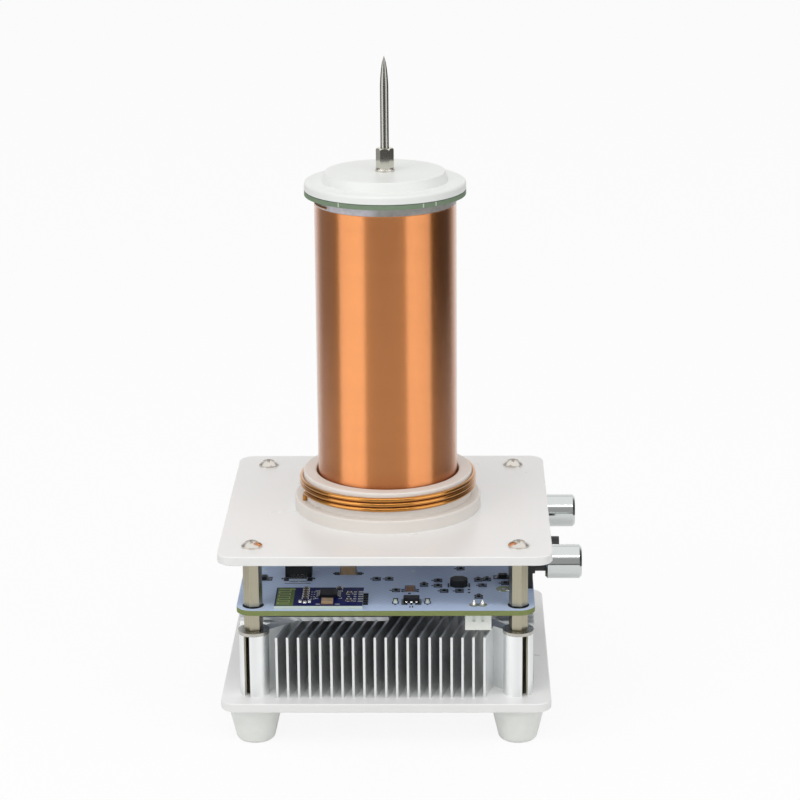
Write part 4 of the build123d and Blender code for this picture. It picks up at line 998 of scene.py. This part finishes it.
# Leads of the driver chips, the regulator and the module's chip; the regulator's middle one is wide.
DRIVER_PITCH = 1.27
DRIVER_LEAD = (1.0, 0.42, 0.85)
MODULE_PITCH = 0.6
MODULE_LEAD = (1.05, 0.34, 0.7)
REGULATOR_PITCH = 1.5
REGULATOR_LEADS = ((-1, 0.48), (0, 0.7), (1, 0.48))       # place in the row, and width
REGULATOR_REACH = 1.1
REGULATOR_DROP = 0.7
REGULATOR_FRONT = box_mm("voltage_regulator")[0].y + 1.5       # where its leads leave its body
leads = []
for driver in solids["driver_chips"]:
    leads += side_leads(driver, 4, DRIVER_PITCH, DRIVER_LEAD, Z_BOARD + PAD)
for step, width in REGULATOR_LEADS:
    x = solids["voltage_regulator"][0][0].x + step * REGULATOR_PITCH
    leads.append((Vector((x, REGULATOR_FRONT, Z_BOARD + PAD)), (REGULATOR_REACH, width, REGULATOR_DROP), -90))
leads += side_leads(chip, 8, MODULE_PITCH, MODULE_LEAD, Z_MODULE)
set_out("chip_leads", gull_lead(), leads, TIN, sharp=50)

# Ink on the white board: outlines, and patches where there would be lettering.
RESISTOR_OFF = Vector((0.25, 0.75, 0))      # how far an outline stands off its part
DIODE_OFF = Vector((1.2, 0.35, 0))
DRIVER_OFF = Vector((1.0, 0.5, 0))
CHIP_OFF = Vector((1.35, 0.7, 0))
DRIVER_OPENING = 0.55
PEAKED = (11.4, 28.1, 30.8)       # resistors whose outline ends in a peak, by their x from the axis
PEAK = 1.5
PEAK_LINE = 0.55
TICK = 0.75               # the short line that the others have at their left end
LAMP_BAR = (0.6, 0.25, 0.5)       # behind a lamp: its half length, how far past the lamp, its width
TAB_BAR = (3.9, 3.2, 0.4)         # before the metal tab: its half length, how far from its middle, its width
CAPACITOR_CORNER = (0.75, 0.42)   # out past its end, and the share of its depth to either side
CORNER_SIZE = (0.7, 1.0)
# Patches at both ends of a part: how far out past its end, how far back from its middle, width, depth.
BESIDE = {
    "indicator_lamps": ((0.42, -0.5, 0.32, 2.2), (0.2, -1.5, 0.5, 0.5)),
    "film_capacitor": ((1.0, -0.6, 1.7, 2.6), (2.1, -0.5, 0.5, 1.2)),
    "voltage_regulator": ((0.1, -1.0, 0.5, 2.6),),
    "switching_transistor_tab": ((0.95, 0.5, 1.6, 3.4), (2.2, 1.1, 0.7, 1.2)),
    "power_inductor": ((0.5, -0.4, 0.45, 3.6),),
}
# Patches before (-1) or behind (1) a part: which, how far past it, x from its middle, width, depth.
BEYOND = {
    "ceramic_capacitors": ((-1, 1.6, -0.2, 0.8, 1.1),),
    "indicator_lamps": ((1, 1.5, 0.0, 1.5, 1.7), (-1, 1.3, 0.0, 0.7, 0.9)),
    "voltage_regulator": ((-1, 1.7, -0.4, 0.35, 1.5), (-1, 1.7, 0.4, 0.35, 1.5)),
}
# Two patches by themselves: x from the axis, y from the front edge, and how far either way from there.
PAIR_AT = (25.2, 17.0, 1.3)
PAIR_SIZE = (0.8, 1.0)
ink = []


def ink_line(start, end, width=LEVEL_LINE):
    """A line of ink."""
    ink.append(stroke(start, end, width, INK, Z_BOARD))


def ink_patch(place, width, depth):
    """A filled patch of ink."""
    ink.append((place, (width, depth, INK)))


def ink_round(middle, half):
    """A closed ink outline round a part."""
    low = middle - half
    high = middle + half
    for y in (low.y, high.y):
        ink_line((low.x, y), (high.x, y))
    for x in (low.x, high.x):
        ink_line((x, low.y), (x, high.y), INK_LINE)


for middle, size in solids["chip_resistors"]:
    half = size / 2 + RESISTOR_OFF
    back = middle.y + half.y
    ink_round(middle, half)
    if min(abs(middle.x - AXIS_X - x) for x in PEAKED) < 0.1:
        for side in BOTH:
            ink_line((middle.x + side * half.x, back), (middle.x, back + PEAK), PEAK_LINE)
    else:
        ink_line((middle.x - half.x - TICK, middle.y), (middle.x - half.x, middle.y))
for middle, size in solids["diodes"]:
    ink_round(middle, size / 2 + DIODE_OFF)
for middle, size in solids["driver_chips"]:
    ink += corners_round(middle, size / 2 + DRIVER_OFF, Z_BOARD, DRIVER_OPENING, INK_LINE)
for side, middle, size in both_ends(solids["ceramic_capacitors"]):
    for row in BOTH:
        ink_patch(over(middle, Z_BOARD, side * (size.x / 2 + CAPACITOR_CORNER[0]),
                       row * size.y * CAPACITOR_CORNER[1]), *CORNER_SIZE)
for node, patches in BESIDE.items():
    for side, middle, size in both_ends(solids[node]):
        for out, back, width, depth in patches:
            ink_patch(over(middle, Z_BOARD, side * (size.x / 2 + out), back), width, depth)
for node, patches in BEYOND.items():
    for middle, size in solids[node]:
        for row, past, x, width, depth in patches:
            ink_patch(over(middle, Z_BOARD, x, row * (size.y / 2 + past)), width, depth)
for middle, size in solids["indicator_lamps"]:
    y = middle.y + size.y / 2 + LAMP_BAR[1]
    ink_line((middle.x - LAMP_BAR[0], y), (middle.x + LAMP_BAR[0], y), LAMP_BAR[2])
tab_y = tab[0].y - TAB_BAR[1]
ink_line((tab[0].x - TAB_BAR[0], tab_y), (tab[0].x + TAB_BAR[0], tab_y), TAB_BAR[2])
for row in BOTH:
    ink_patch(on_board(PAIR_AT[0], PAIR_AT[1] - BOARD_EDGE + row * PAIR_AT[2]), *PAIR_SIZE)
set_out("board_ink", block(0.04), ink, BLACK_INK)

# Painted shadow: dark rings, in the black ink's finish, where the pillars stand on the mask.
PILLAR_SHADOW = (6.5, 6.5, INK)
set_out("pillar_rings", ring(0.3), [
    (over(middle, Z_BOARD), PILLAR_SHADOW) for middle, size in solids["upper_pillars"]],
        BLACK_INK)

# Foil tracks under the mask, with their vias: places on the board, counted from the axis.
TRACK = 0.9
VIA = (0.8, 0.8, PAD)
TRACK_RUNS = (
    ((-30, -8), (-30, 10), (-26, 14), (-26, 30)),
    ((-22, -9), (-18, -5), (-18, 24), (-12, 30)),
    ((3, -26), (3, -20), (8, -15), (8, -10)),
    ((22, -19), (22, -12), (28, -6), (28, 8)),
    ((38, -12), (38, 6), (34, 10), (34, 18)),
    ((10, -2), (18, -2), (24, 4), (24, 26)),
    ((0, 8), (0, 18), (-6, 24), (-6, 40)),
    ((14, 12), (14, 26)),
    ((-38, -10), (-38, 22), (-32, 28)),
)
foil = [stroke(on_board(*start).xy, on_board(*end).xy, TRACK, INK, Z_BOARD)
        for run in TRACK_RUNS for start, end in zip(run, run[1:])]
set_out("board_tracks", block(0.04), foil, TRACKS)
set_out("board_vias", ring(0.2), [
    (on_board(*place), VIA) for run in TRACK_RUNS for place in (run[0], run[-1])], TIN)

# The module's bare antenna end, with the track that folds to and fro and dark painted shadow lines beside it.
ANTENNA_LEFT = module_low.x + 0.45
ANTENNA_WIDE = 5.2
ANTENNA_INSET = 0.4       # from the module's front and back edges
FOLD_INSET = 1.2          # from the ends of the bare part
FOLD_LEFT = ANTENNA_LEFT + 0.6
FOLD_RIGHT = ANTENNA_LEFT + ANTENNA_WIDE - 1.3
FOLD_PITCH = 1.55
FOLD_LINE = 0.6           # the long runs of the fold
FOLD_RETURN = 0.4         # and the short ones that join them
SHADE_LINE = 0.45
SHADE_RETURN = 0.3
SHADE_BEFORE = 0.48
SHADE_ASIDE = 0.4
SHADE_INSET = 0.3
Z_FOLD = Z_MODULE + INK
Z_SHADE = Z_MODULE + INK * 0.8      # just under the fold, which crosses it
module_depth = module_high.y - module_low.y - 2 * ANTENNA_INSET
antenna_middle = Vector((ANTENNA_LEFT + ANTENNA_WIDE / 2, module_middle.y, Z_MODULE))
set_out("module_antenna_end", block(0.02), [(antenna_middle, (ANTENNA_WIDE, module_depth, INK))],
        ANTENNA)
fold_front = module_low.y + ANTENNA_INSET + FOLD_INSET
feed_y = module_high.y - ANTENNA_INSET - FOLD_INSET
rows = int((module_depth - 2 * FOLD_INSET) / FOLD_PITCH)
folds = []
shades = []
for i in range(rows + 1):
    y = fold_front + i * FOLD_PITCH
    shade_y = y - SHADE_BEFORE
    folds.append(stroke((FOLD_LEFT, y), (FOLD_RIGHT, y), FOLD_LINE, INK, Z_FOLD))
    shades.append(stroke((FOLD_LEFT, shade_y), (FOLD_RIGHT, shade_y), SHADE_LINE, INK, Z_SHADE))
    if i < rows:
        x = FOLD_RIGHT if i % 2 else FOLD_LEFT
        folds.append(stroke((x, y), (x, y + FOLD_PITCH), FOLD_RETURN, INK, Z_FOLD))
        shade_x = x + SHADE_ASIDE
        shades.append(stroke((shade_x, y + SHADE_INSET), (shade_x, y + FOLD_PITCH - SHADE_INSET),
                             SHADE_RETURN, INK, Z_SHADE))
folds.append(stroke((FOLD_RIGHT, feed_y), (ANTENNA_LEFT + ANTENNA_WIDE, feed_y), FOLD_LINE, INK, Z_FOLD))
set_out("module_antenna", block(0.05), folds, FINGERS)
# Painted shadow: dark lines beside the track.
set_out("module_antenna_gaps", block(0.05), shades, PAINTED_SHADE_GREEN)

# The module's ink and its edge pads. A row of marks has its x, first y, number, length and width.
MARK_PITCH = 2.0
MARK_ROWS = (
    (module_high.x - 4.4, module_low.y + 4.0, 5, 0.4, 0.6),
    (chip[0].x - 5.2, module_low.y + 6.0, 4, 0.2, 0.4),
    (chip[0].x - 4.4, module_low.y + 6.0, 4, 0.2, 0.4),
    (chip[0].x - 2.9, module_low.y + 1.6, 1, 1.2, 0.35),
    (chip[0].x + 2.9, module_low.y + 1.6, 1, 1.2, 0.35),
)
CHIP_OPENING = 0.8
CHIP_LINE = 0.25
EDGE_PADS = ((0.75, (1.5, 1.0, PAD)), (2.5, (0.9, 0.9, PAD)))       # from the module's right edge, and size
marks = corners_round(chip[0], chip[1] / 2 + CHIP_OFF, Z_MODULE, CHIP_OPENING, CHIP_LINE)
for x, front, count, length, width in MARK_ROWS:
    for i in range(count):
        y = front + i * MARK_PITCH
        marks.append(stroke((x - length / 2, y), (x + length / 2, y), width, INK, Z_MODULE))
set_out("module_ink", block(0.04), marks, WHITE_INK)
set_out("module_pads", block(0.06), [
    (Vector((module_high.x - inset, middle.y, Z_MODULE)), size)
    for middle, pin_size in solids["module_pins"] for inset, size in EDGE_PADS], TIN)

# The disc: a dark green painted shadow line at its upper edge, under the cap, and the remains where it was
# snapped from its panel.
NIB_ANGLES = (-33.0, 28.8, 39.2, 81.0, 152.0, 163.0, 208.0)     # from the front, towards the right
NIB_DEEP = 0.16
NIB_WIDE = 0.4
NIB_LIFT = 0.15
NIB_GAP = 0.2             # under the disc's upper edge
NIB_SUNK = 0.02
# The painted shadow line: its height, how far in it reaches and how far it stands out.
SHADOW_LINE_HIGH = 0.2
SHADOW_LINE_DEEP = 0.3
SHADOW_LINE_PROUD = 0.02
disc_low, disc_high = box_mm("topload_disc")
disc_radius = (disc_high.y - disc_low.y) / 2
nib_size = (NIB_DEEP, NIB_WIDE, disc_high.z - disc_low.z - NIB_LIFT - NIB_GAP)
nibs = []
for angle in NIB_ANGLES:
    foot = round_axis(disc_radius - NIB_SUNK, angle, disc_low.z + NIB_LIFT)
    nibs.append((foot, nib_size, angle - 90))
set_out("disc_nibs", block(0.1), nibs, SNAPPED)
inside = disc_radius - SHADOW_LINE_DEEP
outside = disc_radius + SHADOW_LINE_PROUD
shadow_ring = turned([(inside, 0), (outside, 0), (outside, SHADOW_LINE_HIGH), (inside, SHADOW_LINE_HIGH), (inside, 0)], 160)
set_out("disc_mask_line", shadow_ring, [((AXIS_X, 0, disc_high.z - SHADOW_LINE_HIGH), (1, 1, 1))],
        PAINTED_SHADE_GREEN)

# The winding's upper end, bent round above the glue to its hole in the disc.
TAIL_WIRE = 0.7
TAIL_RADIUS = TUBE_RADIUS + 0.75
TAIL_FROM = -74.0         # degrees from the front, towards the right
TAIL_TO = -52.0
TAIL_STEPS = 12
TAIL_UNDER = 1.7          # its level part, below the disc
TAIL_RISE = 1.45          # how far its start stands above that
TAIL_BENT = 1 / 3         # the share of it that comes down
tail = []
for i in range(TAIL_STEPS + 1):
    share = i / TAIL_STEPS
    height = Z_DISC - TAIL_UNDER + TAIL_RISE * max(0.0, 1 - share / TAIL_BENT) ** 2
    tail.append(round_axis(TAIL_RADIUS, TAIL_FROM + (TAIL_TO - TAIL_FROM) * share, height))
keep("winding_tail", wire_mesh(tail, TAIL_WIRE, 3), THICK_COPPER, sharp=60)

# ---- Camera, floor and light: in metres ----
SENSOR = 36.0
PICTURE = 800                            # the picture's width in pixels
FOCUS_PIXELS = 2724.2                    # the focal length in the same pixels
CAMERA_PLACE = (0.01577, -0.81066, 0.33318)
CAMERA_YAW = 1.174
CAMERA_PITCH = -16.333
CAMERA_ROLL = -0.464
FARTHEST_SEEN = 20.0
camera = linked("camera", bpy.data.cameras.new("camera"))
camera.data.sensor_width = SENSOR
camera.data.lens = FOCUS_PIXELS / PICTURE * SENSOR
camera.data.clip_end = FARTHEST_SEEN
camera.matrix_world = (
    Matrix.Translation(CAMERA_PLACE)
    @ Matrix.Rotation(radians(CAMERA_YAW), 4, "Z")
    @ Matrix.Rotation(radians(90 + CAMERA_PITCH), 4, "X")
    @ Matrix.Rotation(radians(CAMERA_ROLL), 4, "Z")
)
bpy.context.scene.camera = camera

PAPER_WHITE = 0.9
PAPER_IN_METAL = 0.37
PAPER_OUTLINE = [                        # cut back where the copper mirrors the softboxes
    (-0.2, -0.4), (0.2, -0.4), (0.2, 0.3), (0.6, 2.5), (-0.6, 2.5), (-0.2, 0.25),
]


def white_paper():
    """Seamless white paper with fibres 1 mm across: its own white where the camera or glass looks
    at it, less of it where metal does, and the object's soft shadow on top."""
    finish = material("seamless_paper_white", "F2F2F2", 0.8)
    tree = finish.tree
    pattern(finish, 1.0, relief=(0.2, 0.02))
    ray = add(tree, "ShaderNodeLightPath")
    seen = add(tree, "ShaderNodeMath", {"operation": "MAXIMUM"}, {
        "Value": ray.outputs["Is Camera Ray"], "Value_001": ray.outputs["Is Transmission Ray"]})
    mirrored = add(tree, "ShaderNodeMath", {"operation": "MULTIPLY"}, {
        "Value": ray.outputs["Is Glossy Ray"], "Value_001": PAPER_IN_METAL})
    share = add(tree, "ShaderNodeMath", {"operation": "MULTIPLY_ADD"}, {
        "Value": seen, "Value_001": PAPER_WHITE, "Value_002": mirrored})
    white = add(tree, "ShaderNodeEmission", inputs={"Color": (1, 1, 1, 1), "Strength": 1.0})
    add(tree, "ShaderNodeMixShader", inputs={"Fac": share, "Shader": finish.shader, "Shader_001": white},
        to=(tree.nodes["Material Output"], "Surface"))
    return finish.made


paper = bpy.data.meshes.new("paper")
paper.from_pydata([(x, y, 0) for x, y in PAPER_OUTLINE], [], [range(len(PAPER_OUTLINE))])
paper.materials.append(white_paper())
floor = linked("floor", paper)

LAMP_DISTANCE = 1.3
LAMPS_FACE = Vector((AXIS_X * MM, 0, 0.1))


def softbox(name, azimuth, lift, width, height, watts):
    """A rectangular light that faces the coil; azimuth 0 is the camera's side, positive to the right."""
    lamp = linked(name, bpy.data.lights.new(name, "AREA"))
    lamp.data.shape = "RECTANGLE"
    lamp.data.size = width
    lamp.data.size_y = height
    lamp.data.energy = watts
    away = Vector((sin(radians(azimuth)) * cos(radians(lift)), -cos(radians(azimuth)) * cos(radians(lift)),
                   sin(radians(lift))))
    lamp.matrix_world = (Matrix.Translation(LAMPS_FACE + away * LAMP_DISTANCE)
                         @ away.to_track_quat("Z", "Y").to_matrix().to_4x4())


softbox("left_softbox", azimuth=-56, lift=8, width=1.1, height=1.27, watts=7.6)
softbox("right_softbox", azimuth=56, lift=8, width=1.03, height=1.27, watts=6.9)
softbox("front_softbox", azimuth=-12, lift=52, width=1.6, height=0.11, watts=3.8)

ROOM_WALLS = 0.25
WALLS_IN_METAL = 0.42
ROOM_LEFT = 0.4            # the share of the walls' light which comes from either side
ROOM_RIGHT = 0.1
BELOW_FRONT = 0.1          # under the level of the table
BELOW_LEFT = 0.38
BELOW_RIGHT = 0.1
ROOM_CEILING = 1.08
BACKDROP = 1.0
BACKDROP_LIGHT = 0.25      # how much of it falls on matt surfaces
FADES = {                  # along X to the right, Y to the back or Z up: from where to where, between what
    "left": ("X", -0.95, -0.5, ROOM_LEFT, 1.0),
    "right": ("X", 0.5, 0.95, 1.0, ROOM_RIGHT),
    "left_below": ("X", -0.9, -0.4, BELOW_LEFT, BELOW_FRONT),
    "right_below": ("X", 0.4, 0.9, 0.0, 1.0),
    "height": ("Z", -0.04, 0.03, 0.0, 1.0),
    "overhead": ("Z", 0.62, 0.75, 0.0, 1.0),
    "behind": ("Y", 0.6, 0.92, 0.0, 1.0),
}
world = bpy.data.worlds.new("studio")
bpy.context.scene.world = world
world.use_nodes = True
tree = world.node_tree
way = add(tree, "ShaderNodeSeparateXYZ", inputs={
    "Vector": add(tree, "ShaderNodeTexCoord").outputs["Generated"]})
fades = {}
for name, (axis, start, end, first, last) in FADES.items():
    fades[name] = add(tree, "ShaderNodeMapRange", inputs={
        "Value": way.outputs[axis], "From Min": start, "From Max": end, "To Min": first, "To Max": last})
ray = add(tree, "ShaderNodeLightPath")
mirrored = add(tree, "ShaderNodeMath", {"operation": "MAXIMUM"}, {
    "Value": ray.outputs["Is Glossy Ray"], "Value_001": ray.outputs["Is Transmission Ray"]})
paint = add(tree, "ShaderNodeMapRange", inputs={
    "Value": mirrored, "To Min": ROOM_WALLS, "To Max": WALLS_IN_METAL})
sides = add(tree, "ShaderNodeMath", {"operation": "MULTIPLY"}, {
    "Value": fades["left"], "Value_001": fades["right"]})
walls = add(tree, "ShaderNodeMath", {"operation": "MULTIPLY"}, {"Value": sides, "Value_001": paint})
backdrop = add(tree, "ShaderNodeMapRange", inputs={
    "Value": mirrored, "To Min": BACKDROP_LIGHT, "To Max": BACKDROP})
seen = add(tree, "ShaderNodeMath", {"operation": "MAXIMUM"}, {
    "Value": ray.outputs["Is Camera Ray"], "Value_001": ray.outputs["Is Transmission Ray"]})
light = fades["left_below"]
for share, other in ((fades["right_below"], BELOW_RIGHT), (fades["height"], walls),
                     (fades["overhead"], ROOM_CEILING), (fades["behind"], backdrop), (seen, BACKDROP)):
    light = add(tree, "ShaderNodeMix", {"data_type": "FLOAT"}, {
        "Factor_Float": share, "A_Float": light, "B_Float": other})
tree.links.new(light.outputs[0], tree.nodes["Background"].inputs["Strength"])
tree.nodes["Background"].inputs["Color"].default_value = (1, 1, 1, 1)

bpy.context.scene.view_settings.view_transform = "Standard"

bpy.context.view_layer.update()
